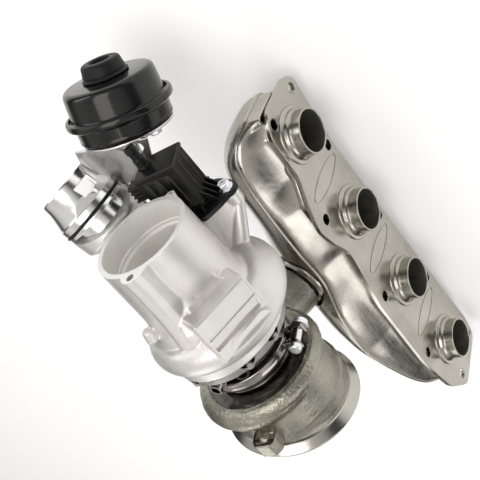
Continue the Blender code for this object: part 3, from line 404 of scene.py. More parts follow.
def evaluated_mesh(part):
    bpy.context.view_layer.update()
    graph = bpy.context.evaluated_depsgraph_get()
    return bpy.data.meshes.new_from_object(part.evaluated_get(graph))


def bake(part):
    """Applies every modifier on part."""
    mesh, old_mesh = evaluated_mesh(part), part.data
    part.modifiers.clear()
    part.data = mesh
    if old_mesh.users == 0:
        bpy.data.meshes.remove(old_mesh)
    return part


def bevelled(part, width, **settings):
    bevel = part.modifiers.new("bevel", "BEVEL")
    bevel.width = width * MM
    bevel.segments = 2
    for key, value in settings.items():
        setattr(bevel, key, value)
    return bake(part)


def fillet(points, reach, closed=True, steps=3):
    """Rounds the corners of a 2D polyline."""
    if reach <= 0:
        return list(points)
    count = len(points)
    out = []
    for i in range(count):
        corner = Vector(points[i])
        if not closed and i in (0, count - 1):
            out.append(tuple(corner))
            continue
        back = Vector(points[i - 1]) - corner
        ahead = Vector(points[(i + 1) % count]) - corner
        back_len, ahead_len = back.length, ahead.length
        if back_len < 1e-6 or ahead_len < 1e-6:
            continue
        back, ahead = back / back_len, ahead / ahead_len
        if max(-1.0, min(1.0, back.dot(ahead))) < -0.985:
            out.append(tuple(corner))
            continue
        trim = min(reach, 0.42 * back_len, 0.42 * ahead_len)
        start, end = corner + back * trim, corner + ahead * trim
        for step in range(steps + 1):
            t = step / steps
            out.append(tuple(start * (1 - t) ** 2 + corner * 2 * t * (1 - t) + end * t * t))
    return out


def turned(profile, matrix, segs=96, soft=0.35):
    """(height, radius) profile spun about local Z, with its corners rounded."""
    points = [(radius, height) for height, radius in profile]
    on_axis = points[0][0] == 0.0 and points[-1][0] == 0.0
    points = fillet(points, soft, closed=not on_axis)
    if sum(a[0] * b[1] - b[0] * a[1] for a, b in zip(points, points[1:] + points[:1])) > 0:
        points.reverse()
    bm = bmesh.new()
    rows = []
    for radius, height in points:
        if radius < 1e-7:
            rows.append([bm.verts.new((0, 0, height * MM))] * segs)
        else:
            ring = circle(radius * MM, segs)
            rows.append([bm.verts.new((x, y, height * MM)) for x, y in ring])
    pairs = list(zip(rows, rows[1:]))
    if not on_axis:
        pairs.append((rows[-1], rows[0]))
    for a, b in pairs:
        for i in range(segs):
            j = (i + 1) % segs
            corners = list(dict.fromkeys((a[i], b[i], b[j], a[j])))
            if len(corners) > 2:
                bm.faces.new(corners)
    bmesh.ops.recalc_face_normals(bm, faces=bm.faces)
    return from_bm(bm, matrix)


def rod(start, end, radius, segs=48):
    start, end = Vector(start), Vector(end)
    length = (end - start).length
    profile = [(0, 0), (0, radius), (length, radius), (length, 0)]
    return turned(profile, axis_frame(start, end - start), segs, 0.3)


def hexagon(start, end, radius, soft=0.5):
    """Hexagon prism with chamfered corners."""
    start, end = Vector(start), Vector(end)
    length = (end - start).length
    profile = [
        (0, 0), (0, radius * 0.93), (length * 0.10, radius), (length * 0.88, radius),
        (length, radius * 0.9), (length, 0),
    ]
    prism = turned(profile, axis_frame(start, end - start), 6, 0)
    return bevelled(prism, soft, limit_method="ANGLE")


def block(size, matrix, soft=0.6, steps=3):
    bm = bmesh.new()
    bmesh.ops.create_cube(bm, size=MM)
    bmesh.ops.scale(bm, vec=size, verts=bm.verts)
    if soft:
        bmesh.ops.bevel(bm, geom=list(bm.edges) + list(bm.verts), offset=soft * MM,
                        segments=steps, profile=0.5, affect="EDGES")
    return from_bm(bm, matrix)


def from_curve(curve, merge, matrix=None):
    """Mesh of a curve, with points closer than merge (metres) joined."""
    holder = bpy.data.objects.new("curve", curve)
    WORK.objects.link(holder)
    mesh = evaluated_mesh(holder)
    bpy.data.objects.remove(holder, do_unlink=True)
    bm = bmesh.new()
    bm.from_mesh(mesh)
    bpy.data.meshes.remove(mesh)
    bmesh.ops.remove_doubles(bm, verts=bm.verts, dist=merge)
    bmesh.ops.recalc_face_normals(bm, faces=bm.faces)
    return from_bm(bm, matrix)


def outline(loops, thick, matrix, soft=0.4, corner=0.0):
    """Flat plate from closed loops, with rounded edges; corner rounds the first loop."""
    curve = bpy.data.curves.new("outline", "CURVE")
    curve.dimensions = "2D"
    curve.fill_mode = "BOTH"
    curve.extrude = (thick / 2 - soft) * MM
    curve.bevel_depth = soft * MM
    curve.bevel_resolution = 2
    curve.offset = -soft * MM
    if corner:
        loops = [fillet(loops[0], corner, steps=6), *loops[1:]]
    for points in loops:
        line = curve.splines.new("POLY")
        line.points.add(len(points) - 1)
        for spot, (x, y) in zip(line.points, points):
            spot.co = (x * MM, y * MM, 0.0, 1.0)
        line.use_cyclic_u = True
    return from_curve(curve, 2e-6, matrix)


def bead(points, radius):
    """Round bar that returns to its first point."""
    points = points + points[:1]
    curve = bpy.data.curves.new("bead", "CURVE")
    curve.dimensions = "3D"
    curve.bevel_depth = MM
    curve.bevel_resolution = 3
    curve.use_fill_caps = True
    line = curve.splines.new("POLY")
    line.points.add(len(points) - 1)
    for spot, point in zip(line.points, points):
        spot.co = (*(Vector(point) * MM), 1.0)
        spot.radius = radius
    return from_curve(curve, 1e-6)


def loft(rings):
    """Solid through a row of rings, with both ends closed."""
    bm = bmesh.new()
    rows = [[bm.verts.new(Vector(point) * MM) for point in ring] for ring in rings]
    count = len(rows[0])
    for a, b in zip(rows, rows[1:]):
        for i in range(count):
            j = (i + 1) % count
            bm.faces.new((a[i], a[j], b[j], b[i]))
    bm.faces.new(list(reversed(rows[0])))
    bm.faces.new(rows[-1])
    bmesh.ops.recalc_face_normals(bm, faces=bm.faces)
    return from_bm(bm)


def sheet(lines, thick, ring=False, caps=False):
    """Sheet metal through rows of points, thickened on one side."""
    bm = bmesh.new()
    rows = [[bm.verts.new(Vector(point) * MM) for point in line] for line in lines]
    for a, b in zip(rows, rows[1:]):
        count = len(a)
        for i in range(count if ring else count - 1):
            j = (i + 1) % count
            bm.faces.new((a[i], b[i], b[j], a[j]))
    if caps:
        bm.faces.new(rows[0])
        bm.faces.new(list(reversed(rows[-1])))
    bmesh.ops.recalc_face_normals(bm, faces=bm.faces)
    part = from_bm(bm)
    solid = part.modifiers.new("sheet", "SOLIDIFY")
    solid.thickness = thick * MM
    solid.offset = -1.0
    solid.use_even_offset = False
    return bake(part)


def slab(corners, thick):
    """Flat polygon thickened both ways."""
    side = (corners[1] - corners[0]).cross(corners[3] - corners[0]).normalized() * thick / 2
    return bevelled(loft([[p - side for p in corners], [p + side for p in corners]]), 0.5)


def combine(part, tools, operation):
    for tool in tools:
        boolean = part.modifiers.new("boolean", "BOOLEAN")
        boolean.operation = operation
        boolean.object = tool
        boolean.solver = "MANIFOLD"
    bake(part)
    for tool in tools:
        mesh = tool.data
        bpy.data.objects.remove(tool, do_unlink=True)
        bpy.data.meshes.remove(mesh)
    return part


def add(part, *tools):
    return combine(part, tools, "UNION")


def cut(part, *tools):
    return combine(part, tools, "DIFFERENCE")


def melt(part, voxel, passes):
    """Fuses a rough union into one cast skin with filleted corners."""
    remesh = part.modifiers.new("melt", "REMESH")
    remesh.mode = "VOXEL"
    remesh.voxel_size = voxel * MM
    remesh.use_smooth_shade = True
    smooth = part.modifiers.new("soft", "SMOOTH")
    smooth.factor = 0.5
    smooth.iterations = passes
    return bake(part)


def push(part, depth):
    """Moves every vertex along its normal by depth(position) mm."""
    mesh = part.data
    normals = [vertex.normal.copy() for vertex in mesh.vertices]
    for vertex, normal in zip(mesh.vertices, normals):
        vertex.co += normal * (depth(vertex.co) * MM)
    mesh.update()


def roughen(part, broad, broad_size, fine, fine_size):
    """Sand-cast unevenness: a depth and a size in mm for each of two noises."""
    push(part, lambda spot: noise.noise(spot * (1000.0 / broad_size)) * broad
         + noise.noise(spot * (1000.0 / fine_size)) * fine)


def ring3(centre, normal, radius, count, up=X_AXIS):
    z = Vector(normal).normalized()
    u = Vector(up)
    u = (u - z * u.dot(z)).normalized()
    return [Vector(centre) + u * x + z.cross(u) * y for x, y in circle(radius, count)]


def dense(path, steps=4):
    """Finer copy of a (point, radius) path by Catmull-Rom."""
    out = []
    last = len(path) - 1
    for i in range(last):
        near = [path[j] for j in (max(0, i - 1), i, i + 1, min(last, i + 2))]
        columns = list(zip(*[(*point, radius) for point, radius in near]))
        for step in range(steps):
            t = step / steps
            x, y, z, radius = [
                0.5 * ((2 * b) + (c - a) * t + (2 * a - 5 * b + 4 * c - d) * t * t
                       + (-a + 3 * b - 3 * c + d) * t ** 3)
                for a, b, c, d in columns
            ]
            out.append((Vector((x, y, z)), radius))
    out.append(path[-1])
    return out


def path_rings(path, wall, count, flat=lambda k: 1.0):
    """Rings along a (point, radius) path; flat narrows ring k in its X direction."""
    rings = []
    u = X_AXIS
    for k, (centre, radius) in enumerate(path):
        ahead = path[min(len(path) - 1, k + 1)][0]
        along = (ahead - path[max(0, k - 1)][0]).normalized()
        u = (u - along * u.dot(along)).normalized()
        v = along.cross(u)
        across = radius * flat(k) + wall
        angles = [2 * math.pi * i / count for i in range(count)]
        rings.append([
            centre + u * (across * math.cos(a)) + v * ((radius + wall) * math.sin(a))
            for a in angles
        ])
    return rings


FINE = []


def piece(part, node, look=None, angle=38.0, more=(), pick=lambda point, normal: 0):
    """Registers a finished surface for a CAD node.

    pick gives each face's look from its centre (mm) and normal: 0 is the
    first look, 1 and up are those in more.
    """
    mesh = part.data
    mesh.materials.clear()
    for material in (look or LOOKS[SLOT_OF[node]], *more):
        mesh.materials.append(material)
    world = part.matrix_world
    for face in mesh.polygons:
        spot = world @ face.center / MM
        face.material_index = int(pick(spot, world.to_3x3() @ face.normal))
    mesh.shade_smooth()
    mesh.set_sharp_from_angle(angle=math.radians(angle))
    weighted = part.modifiers.new("normals", "WEIGHTED_NORMAL")
    weighted.keep_sharp = True
    part.name = node + "_skin"
    FINE.append((part, node))


# ---------------------------------------------------------------- head flange and sleeves
PORT_PITCH = 92.0
PORT_X0 = -91.0
PORT_Z = -142.0
PORT_R = 18.8
SLEEVE_T = 1.6
PLATE_FACE_Y = 53.6
PLATE_T = 4.0
# (x, z) from the centre of the first port.
PLATE_EDGE = [
    (-37.8, -29.0), (-28.7, -39.8), (-8.0, -36.8), (43.0, -32.5), (95.0, -34.5),
    (160.0, -36.8), (243.0, -40.4), (300.0, -43.9), (322.0, -40.0), (331.0, 14.0),
    (324.0, 20.9), (303.5, 36.8), (269.0, 42.9), (249.0, 45.4), (165.7, 45.9),
    (145.9, 42.7), (103.7, 35.4), (84.0, 44.0), (62.0, 49.6), (40.0, 40.0),
    (20.0, 29.2), (-21.5, 28.4), (-37.6, 15.0),
]
BOLT_HOLES = [
    (-25.1, -29.0), (-25.3, 15.4), (35.5, -25.0), (64.3, 33.9), (125.1, -27.5),
    (166.1, 33.4), (219.0, -31.0), (251.0, 33.1), (317.1, 12.0), (312.1, -34.0),
]
LENSES = [(138.0, 2.0), (230.0, 2.0), (46.0, 4.0)]
PLATE_FRAME = basis((-1, 0, 0), Z_AXIS, Y_AXIS)


def plate_xy(point):
    return (-(point[0] + PORT_X0), point[1] + PORT_Z)


def head_flange():
    loops = [[plate_xy(point) for point in PLATE_EDGE]]
    loops += [circle(4.6, 24, *plate_xy(point)) for point in BOLT_HOLES]
    loops += [circle(23.6, 72, *plate_xy((PORT_PITCH * i, 0.0))) for i in range(4)]
    middle = at(PLATE_FRAME, 0, 0, PLATE_FACE_Y - PLATE_T / 2)
    plate = outline(loops, PLATE_T, middle, 0.5, 9.0)
    # Lens-shaped grooves between the ports, long axis upright.
    lens = []
    for c, s in circle(1.0, 40):
        lens.append((29.0 * math.copysign(abs(c) ** 1.25, c), 8.5 * s))
    inner = [(x * 0.94, y * 0.80) for x, y in lens]
    for centre in LENSES:
        face = at(PLATE_FRAME, *plate_xy(centre), PLATE_FACE_Y)
        upright = face @ Matrix.Rotation(math.radians(90.0), 4, "Z")
        cut(plate, outline([lens, inner], 1.2, upright, 0.25))
    return plate


def port_sleeve(number):
    x = PORT_X0 + PORT_PITCH * (number - 1)
    inner_r = PORT_R - SLEEVE_T
    profile = [
        (68.6, inner_r), (68.6, PORT_R), (61.5, PORT_R), (59.6, PORT_R + 0.3),
        (58.2, PORT_R + 1.8), (55.6, PORT_R + 2.4), (54.9, 23.8), (54.2, 24.3), (50.0, 24.0),
        (49.6, 22.0), (46.0, PORT_R), (42.0, PORT_R), (42.0, inner_r),
    ]

    # Faces inside the bore get the darker look.
    def in_darker_bore(point, normal):
        return math.hypot(point.x - x, point.z - PORT_Z) < PORT_R - 1.0 and point.y < 66.5

    sleeve = turned(profile, axis_frame((x, 0, PORT_Z), Y_AXIS), 112, 0.5)
    piece(sleeve, "port_sleeve_%d" % number, more=[DARK_BORE_LOOK], pick=in_darker_bore)


piece(head_flange(), "head_flange")
for number in (1, 2, 3, 4):
    port_sleeve(number)

# ---------------------------------------------------------------- sheet manifold
SHELL_T = 1.5
SEAM_Y = 24.0
SHELL_X0, SHELL_X1 = -131.0, 215.0
# (x, y) of the deepest line, then (x, z) of the top and bottom.
SHELL_DEPTH = [
    (-132, 26), (-120, 8), (-100, -4), (-60, -10), (-15, -17), (26, -20), (60, -14),
    (105, 0), (150, 15), (190, 28), (216, 38),
]
SHELL_TOP = [
    (-132, -126), (-122, -104), (-100, -92), (-60, -88), (-15, -87), (26, -88), (60, -77),
    (105, -75), (150, -83), (190, -98), (216, -122),
]
SHELL_BOTTOM = [
    (-132, -150), (-120, -168), (-100, -175), (0, -174), (100, -177), (190, -180), (216, -158),
]
# Shallow valleys between the runners: (x, half width, share of the depth).
VALLEYS = ((-45.0, 22.0, 0.10), (58.0, 18.0, 0.06), (138.0, 20.0, 0.16))
# Share of the way from the seam to the plate for each row of the front pressing.
FRONT_ROWS = [0.0, 0.06, 0.12, 0.2, 0.3, 0.4, 0.5, 0.6, 0.7, 0.8, 0.88, 0.94, 1.0]
COLLAR_C = Vector((26.0, -4.4, -97.0))
COLLAR_N = Vector((0.0, -0.37, 0.929)).normalized()
COLLAR_FRAME = axis_frame(COLLAR_C, COLLAR_N)

STATIONS = []
x = SHELL_X0
while x <= SHELL_X1 + 0.01:
    STATIONS.append(x)
    x += 1.2 if x < -112 or x > 198 else 3.0

plate_line = [(x + PORT_X0, z + PORT_Z) for x, z in PLATE_EDGE]
PLATE_TOP = plate_line[:8:-1]
PLATE_LOW = plate_line[1:8]


def plate_top_z(x):
    return min(table(x, PLATE_TOP) - 2.5, -104.0)


def seam_y(x):
    return max(SEAM_Y, 0.5 * (47.0 + spline(x, SHELL_DEPTH)))


def rear_row(x, count=72):
    top, bottom = spline(x, SHELL_TOP), spline(x, SHELL_BOTTOM)
    middle, half = (top + bottom) / 2, (top - bottom) / 2
    seam = seam_y(x)
    valley = sum(depth * math.exp(-((x - c) / width) ** 2) for c, width, depth in VALLEYS)
    depth = (seam - spline(x, SHELL_DEPTH)) * (1 - valley)
    row = []
    for i in range(count + 1):
        angle = math.pi * i / count
        c, s = math.cos(angle), math.sin(angle)
        z = middle - half * math.copysign(abs(c) ** 0.9, c)
        row.append((x, seam - depth * abs(s) ** 0.9, z))
    return row


def front_row(share):
    """Closed line round the front pressing: along the bottom, back along the top."""
    low, high = [], []
    ease = smooth_step(share)
    for x in STATIONS:
        from_left, from_right = x - SHELL_X0, SHELL_X1 - x
        end = smooth_step(min(from_left, from_right) / 9.0)
        top, bottom = spline(x, SHELL_TOP), spline(x, SHELL_BOTTOM)
        top_rise = (plate_top_z(x) - top) * end
        bottom_rise = (max(table(x, PLATE_LOW) + 3.0, bottom) - bottom) * end
        inward = max(0.0, 1 - from_left / 40.0) - max(0.0, 1 - from_right / 40.0)
        x_in = x + 2.0 * inward * share
        seam = seam_y(x) + 1.8
        y = seam + (49.2 - seam) * share
        high.append((x_in, y, top + top_rise * ease))
        low.append((x_in, y, bottom + bottom_rise * ease))
    return low + high[::-1]


def collar_hole():
    profile = [(-42, 0), (-42, 25.9), (-4.4, 25.9), (-4.4, 29.0), (14, 29.0), (14, 0)]
    return turned(profile, COLLAR_FRAME, 96, 0)


def rim_strip():
    """Raised strip on the top of the front pressing, beside the plate."""
    rings = []
    for x in [-86.0 + 4.0 * k for k in range(20)]:
        z = plate_top_z(x)
        rise = 0.4 + 2.4 * smooth_step(min((x + 86.0) / 6.0, (-10.0 - x) / 6.0))
        section = (
            (43.6, 0.2), (43.9, rise * 0.7), (44.8, rise), (47.6, rise), (48.8, rise * 0.8),
            (49.2, 0.2), (49.2, -1.2), (43.6, -1.2),
        )
        rings.append([(x, y, z + up) for y, up in section])
    return loft(rings)


rear = sheet([rear_row(x) for x in STATIONS], SHELL_T, caps=True)
piece(cut(rear, collar_hole()), "manifold_rear_shell", angle=45)

front_rows = [front_row(share) for share in FRONT_ROWS]
front = cut(sheet(front_rows, SHELL_T, ring=True), collar_hole())
add(front, bead([(x, 48.2, z) for x, y, z in front_rows[-1]], 1.25))
piece(front, "manifold_front_shell", angle=45)
strip = rim_strip()
# Rolled lip where the two pressings meet.
seam_line = [
    (x, y - 0.9, z + (0.2 if k >= len(STATIONS) else -0.2))
    for k, (x, y, z) in enumerate(front_rows[0])
]
seam_lip = cut(bead(seam_line, 1.5), collar_hole())

piece(turned([
    (-26, 23.6), (-26, 25.2), (-6, 25.2), (-4.4, 26.2), (-2.6, 28.0), (-0.8, 28.6),
    (0.8, 28.2), (2.2, 27.0), (3.0, 26.0), (3.6, 25.6), (3.6, 23.2),
], COLLAR_FRAME, 120, 0.8), "collector_collar")

# ---------------------------------------------------------------- turbine housing
TURB_SCROLL_X = 20.5
OUTLET_C = Vector((56.5, -0.57, -2.4))
OUTLET_N = Vector((0.974, -0.214, 0.078)).normalized()
OUTLET_FRAME = axis_frame(OUTLET_C, OUTLET_N)
GATE_X, GATE_Z = 46.5, -4.0
LUG_DEG = 82.0
LUG_FRAME = basis(
    polar(0, 1, LUG_DEG - 90), polar(0, 1, LUG_DEG), X_AXIS, polar(45.3, 54.0, LUG_DEG))
LUG_INVERSE = LUG_FRAME.inverted()


def turbine_path():
    """Gas path (point, radius): down from the collar, then round the spiral."""
    path = []
    start = COLLAR_C + COLLAR_N * 5.4
    middle = Vector((26.0, -26.0, -48.0))
    end = Vector((TURB_SCROLL_X, -41.0, -8.0))
    for t in (0.0, 0.25, 0.5, 0.75):
        point = start * (1 - t) ** 2 + middle * 2 * t * (1 - t) + end * t * t
        path.append((point, 21.5 - 4.5 * t))
    for k in range(17):
        share = k / 16.0
        centre = polar(TURB_SCROLL_X, 44.0 - 13.5 * share, 178.0 - 19.5 * k)
        path.append((centre, 15.2 - 8.8 * share))
    return dense(path)


def turbine_flat(k):
    return 1.0 - 0.27 * smooth_step(k / 16.0)


def turbine_skin(part):
    """Sand texture, strongest on the spiral; the outlet cone is smoother."""
    offset = Vector((3.1, -2.2, 5.7))
    world = part.matrix_world.copy()

    def depth(spot):
        point = (world @ spot) * 1000.0
        band = smooth_step((25.0 - point.x) / 4.0) * smooth_step((point.x - 7.0) / 3.0)
        return (noise.noise(point / 7.0 + offset) * 0.22
                + noise.noise(point / 2.6 - offset) * (0.03 + 0.20 * band)
                + noise.noise(point / 1.1 + offset) * (0.02 + 0.11 * band))

    push(part, depth)


def turbine_housing():
    house = turned([
        (-7.0, 0), (-7.0, 36.0), (-4.2, 36.0), (-0.6, 33.0), (4.6, 33.0), (5.4, 38.0),
        (7.0, 44.0), (8.6, 48.0), (9.4, 50.8), (11.5, 53.0), (15.0, 54.4), (18.5, 54.4),
        (21.0, 53.0), (23.0, 50.6), (26.0, 50.2), (36.0, 50.2), (44.0, 50.2), (52.0, 50.0),
        (52.0, 0),
    ], ALONG_X, 144, 0.6)
    neck = turned([
        (-15, 0), (-15, 49.6), (0, 50.2), (2.6, 51.2), (3.4, 51.4), (3.4, 0),
    ], OUTLET_FRAME, 144, 0.4)
    path = turbine_path()
    scroll = loft(path_rings(path[:48], 4.0, 56, flat=turbine_flat))
    gate_boss = rod((GATE_X, -44, GATE_Z), (GATE_X, -66.6, GATE_Z), 7.6)
    root_frame = axis_frame(polar(46.0, 51.5, LUG_DEG), polar(0, 1, LUG_DEG), X_AXIS)
    lug_root = block((12.5, 17, 11), root_frame, 2.0)
    web = loft([
        [(14, -6, -62), (32, -6, -62), (30, 6, -58), (18, 6, -58)],
        [(10, 18, -42), (36, 18, -42), (34, 30, -36), (14, 30, -36)],
    ])
    add(house, scroll, neck, gate_boss, lug_root, web)
    melt(house, 0.8, 4)
    turbine_skin(house)
    gas = loft(path_rings(path, 0.0, 40, flat=turbine_flat))
    bore = turned([
        (-9, 0), (-9, 28.4), (14.5, 28.4), (17.0, 34.0), (23.9, 34.0), (24.7, 25.0),
        (29.0, 22.8), (35.0, 22.0), (41.0, 22.0), (42.0, 23.0), (42.0, 41.0), (44.0, 43.5),
        (49.0, 45.0), (49.0, 0),
    ], ALONG_X, 112, 0.2)
    outlet = turned([
        (-10.5, 0), (-10.5, 43.0), (-4, 46.2), (8.8, 46.6), (13, 46.8), (13, 0),
    ], OUTLET_FRAME, 128, 0.2)
    gate_port = rod((31, -30, -20), (46, -30, -20), 7.0)
    spindle = rod((GATE_X, -30, GATE_Z), (GATE_X, -70, GATE_Z), 5.9)
    cut(house, gas, bore, outlet, gate_port, spindle)
    flange_ring = turned([
        (2.2, 46.9), (2.2, 51.0), (2.9, 52.6), (3.6, 52.9), (9.0, 57.4), (9.6, 57.9),
        (10.6, 58.0), (11.2, 57.4), (11.2, 46.9),
    ], OUTLET_FRAME, 192, 0.25)
    return add(house, flange_ring)


def turbine_look(point, normal):
    """2 on the shoulder, painted shade for the gap behind the V-band; 1 on the outlet ring."""
    deg = math.degrees(math.atan2(point.z, point.y))
    if point.x < 8.8 and 30.0 < off_axis(point) < 47.2 and (deg + 50.0) % 360.0 < 200.0:
        return 2
    offset = point - OUTLET_C
    return offset.dot(OUTLET_N) > 2.3 and offset.length < 60.0


def probe_lug():
    """Bevelled block with a sunk face towards -X and a domed stud."""
    lug = outline([[
        (-11.0, -9.0), (10.4, -9.0), (10.8, 3.6), (5.4, 8.4), (-6.6, 8.4), (-11.0, 2.6),
    ]], 14.0, LUG_FRAME, 1.0, 1.6)
    recess = outline([[
        (-9.8, -7.6), (9.0, -7.6), (9.2, 2.8), (4.6, 6.8), (-5.8, 6.8), (-9.8, 1.8),
    ]], 2.2, at(LUG_FRAME, 0, 0, -7.0), 0.3, 1.2)
    cut(lug, recess)
    return add(lug, turned([
        (0, 0), (0, 5.0), (1.4, 4.9), (2.8, 3.8), (3.6, 2.0), (3.9, 0),
    ], axis_frame(polar(40.2, 53.2, LUG_DEG), -X_AXIS), 64, 0.3))


# Faces of the lug's sunk recess, which get the painted shade.
def in_shaded_lug_recess(point, normal):
    x, y, z = LUG_INVERSE @ (point * MM) / MM
    return z < -5.2 and abs(x) < 9.9 and -8.0 < y < 7.4 and math.hypot(x, y + 0.8) > 5.1


piece(turbine_housing(), "turbine_housing", angle=40, more=[OUTLET_RING, SHOULDER_SHADE],
      pick=turbine_look)
lug = probe_lug()
piece(lug, "turbine_housing", angle=35, more=[LUG_FACE_SHADE], pick=in_shaded_lug_recess)
lug.name = "turbine_housing_lug"

# ---------------------------------------------------------------- wastegate
LEVER_LENGTH = 27.0
LEVER_HALF_SWING = math.radians(13.0)
EYE_Y = -73.8
lever_rest = math.atan2(-0.9587, 0.2845) - LEVER_HALF_SWING
PIN = Vector((
    GATE_X + LEVER_LENGTH * math.cos(lever_rest), EYE_Y,
    GATE_Z + LEVER_LENGTH * math.sin(lever_rest),
))


def wastegate_arm():
    arm = rod((GATE_X, -25.0, GATE_Z), (GATE_X, -72.0, GATE_Z), 3.2)
    bar_at = Matrix.Translation(Vector((GATE_X + 1.2, -29.0, GATE_Z - 8.2)) * MM)
    add(arm, block((5.0, 8.0, 17.0), bar_at, 1.2))
    return cut(arm, rod((40, -30, -17.0), (56, -30, -17.0), 2.6))


def wastegate_lever():
    edge = arc(8.0, 30, 331) + arc(6.0, -120, 121, LEVER_LENGTH)
    along = (PIN - Vector((GATE_X, EYE_Y, GATE_Z))).normalized()
    frame = basis(along, (-Y_AXIS).cross(along), -Y_AXIS, (GATE_X, -69.4, GATE_Z))
    return outline([edge, circle(3.45, 32), circle(2.8, 32, LEVER_LENGTH)], 4.0, frame, 0.5)


piece(turned([(0, 3.5), (0, 5.6), (19, 5.6), (19, 3.5)],
             axis_frame((GATE_X, -66.4, GATE_Z), Y_AXIS), 48), "wastegate_bushing")
piece(wastegate_arm(), "wastegate_arm")
piece(turned([
    (42.0, 0), (42.0, 8.6), (44.2, 9.4), (44.8, 8.6), (44.8, 2.2), (51.4, 2.2), (51.8, 1.8),
    (51.8, 0),
], axis_frame((0, -30, -17.0), X_AXIS), 64), "wastegate_flap")
piece(wastegate_lever(), "wastegate_lever")
piece(turned([
    (0, 0), (0, 4.0), (1.4, 4.0), (1.4, 2.5), (9.2, 2.5), (9.4, 2.3), (9.4, 0),
], axis_frame((PIN.x, -65.9, PIN.z), -Y_AXIS), 48), "lever_pin")

# ---------------------------------------------------------------- bearing housing
BOSS_X = -20.3
COOLANT_DEG = 60
POCKET_X = -37.8
POCKETS = (12.0, 45.0, 105.0, 160.0, 215.0, 320.0)


def bearing_housing():
    house = turned([
        (-33.8, 0), (-33.8, 50.0), (-27.6, 49.6), (-27.2, 45.0), (-26.8, 36.0), (-20.0, 28.0),
        (-15.6, 28.6), (-13.2, 32.0), (-10.4, 36.2), (-7.2, 36.2), (-7.2, 27.6), (10.0, 27.6),
        (10.0, 0),
    ], ALONG_X, 144, 0.5)
    # Bosses for the oil feed, oil drain and coolant.
    add(
        house, rod((BOSS_X, 0, 20), (BOSS_X, 0, 35), 6.2),
        rod((BOSS_X, 0, -18), (BOSS_X, 0, -43), 6.2),
        rod(polar(BOSS_X, 20, COOLANT_DEG), polar(BOSS_X, 41, COOLANT_DEG), 6.0),
    )
    melt(house, 0.7, 3)
    roughen(house, broad=0.12, broad_size=5.0, fine=0.05, fine_size=1.4)
    # Rotor bore, then holes down the bosses, a notch, a flat and the face towards -X.
    cut(
        house, turned([(-40, 0), (-40, 8.3), (14, 8.3), (14, 0)], ALONG_X, 64, 0),
        rod((BOSS_X, 0, 0), (BOSS_X, 0, 40), 3.2),
        rod((BOSS_X, 0, 0), (BOSS_X, 0, -50), 5.2),
        rod(polar(BOSS_X, 24, COOLANT_DEG), polar(BOSS_X, 45, COOLANT_DEG), 3.6),
        block((9, 44, 14), place(-29.4, 0, -49.8), 0),
        block((12, 12, 6), place(BOSS_X, 0, 38.2), 0.2),
        turned([(-40, 0), (-40, 60), (-33.9, 60), (-33.9, 0)], ALONG_X, 96, 0),
    )
    for deg in POCKETS:
        cut(house, rod(polar(POCKET_X, 45.4, deg), polar(POCKET_X, 56, deg), 7.9))
    for deg in POCKETS:
        add(house, turned([
            (0, 0), (0, 2.0), (0.9, 2.4), (0.9, 3.2), (3.6, 3.4), (6.2, 3.4), (6.2, 0),
        ], axis_frame(polar(-34.0, 47.8, deg), X_AXIS), 36, 0.25))
    return house


def in_shaded_pocket(point, normal):
    """Painted shade on the waist of the housing and the screw pockets round its rim, which lie in
    shadow.
    """
    radius = off_axis(point)
    if -27.0 < point.x < -14.0 and radius > 27.8:
        return True
    if point.x > -29.6 or not 45.2 < radius <= 50.6 or normal.x >= 0.2:
        return False
    if abs(point.x + 33.6) < 0.35 and radius > 49.8:
        return False
    angle = math.degrees(math.atan2(point.z, point.y)) % 360.0
    for deg in POCKETS:
        turn = abs((angle - deg + 180.0) % 360.0 - 180.0)
        # 0.0175 turns degrees into radians closely enough here.
        if math.hypot(turn * 0.0175 * radius, point.x - POCKET_X) < 8.2:
            return True
    return False


piece(bearing_housing(), "bearing_housing", more=[POCKET_SHADE], pick=in_shaded_pocket)

# ---------------------------------------------------------------- rotor
SHAFT_END_X = -81.0
BLADE_STEPS = 24


def blades(hub, tip, count, thick, twist):
    """Blades between hub and tip lines of (x, radius); twist (radians) fades along them."""
    spans = len(hub) - 1
    out = []
    for blade in range(count):
        rings = []
        for step in range(BLADE_STEPS + 1):
            along = step / BLADE_STEPS * spans
            i = min(int(along), spans - 1)
            t = along - i
            (hub_x, hub_r), (tip_x, tip_r) = [
                [a * (1 - t) + b * t for a, b in zip(line[i], line[i + 1])]
                for line in (hub, tip)
            ]
            angle = 2 * math.pi * blade / count + twist * (1 - along / spans) ** 1.5
            root, edge = (hub_x, hub_r - 1.2, thick), (tip_x, tip_r, thick * 0.6)
            ring = []
            for (x, r, width), side in ((root, -1), (edge, -1), (edge, 1), (root, 1)):
                turn = angle + side * (width / 2 / max(r, 1.0))
                ring.append((x, r * math.cos(turn), r * math.sin(turn)))
            rings.append(ring)
        out.append(loft(rings))
    return out


def compressor_wheel():
    hub = turned([
        (-75.5, 2.7), (-75.5, 5.2), (-70.0, 6.4), (-62.0, 9.0), (-55.0, 13.0), (-50.0, 18.0),
        (-47.2, 23.0), (-46.0, 27.0), (-44.4, 27.0), (-43.2, 18.0), (-43.2, 6.0),
        (-47.3, 6.0), (-47.3, 2.7),
    ], ALONG_X, 96, 0.5)
    return add(hub, *blades(
        hub=[(-72.0, 6.0), (-62.5, 9.0), (-53.0, 15.0), (-46.4, 25.4)],
        tip=[(-72.0, 19.8), (-62.5, 19.9), (-55.0, 22.6), (-51.4, 26.9)],
        count=11, thick=1.2, twist=1.1,
    ))


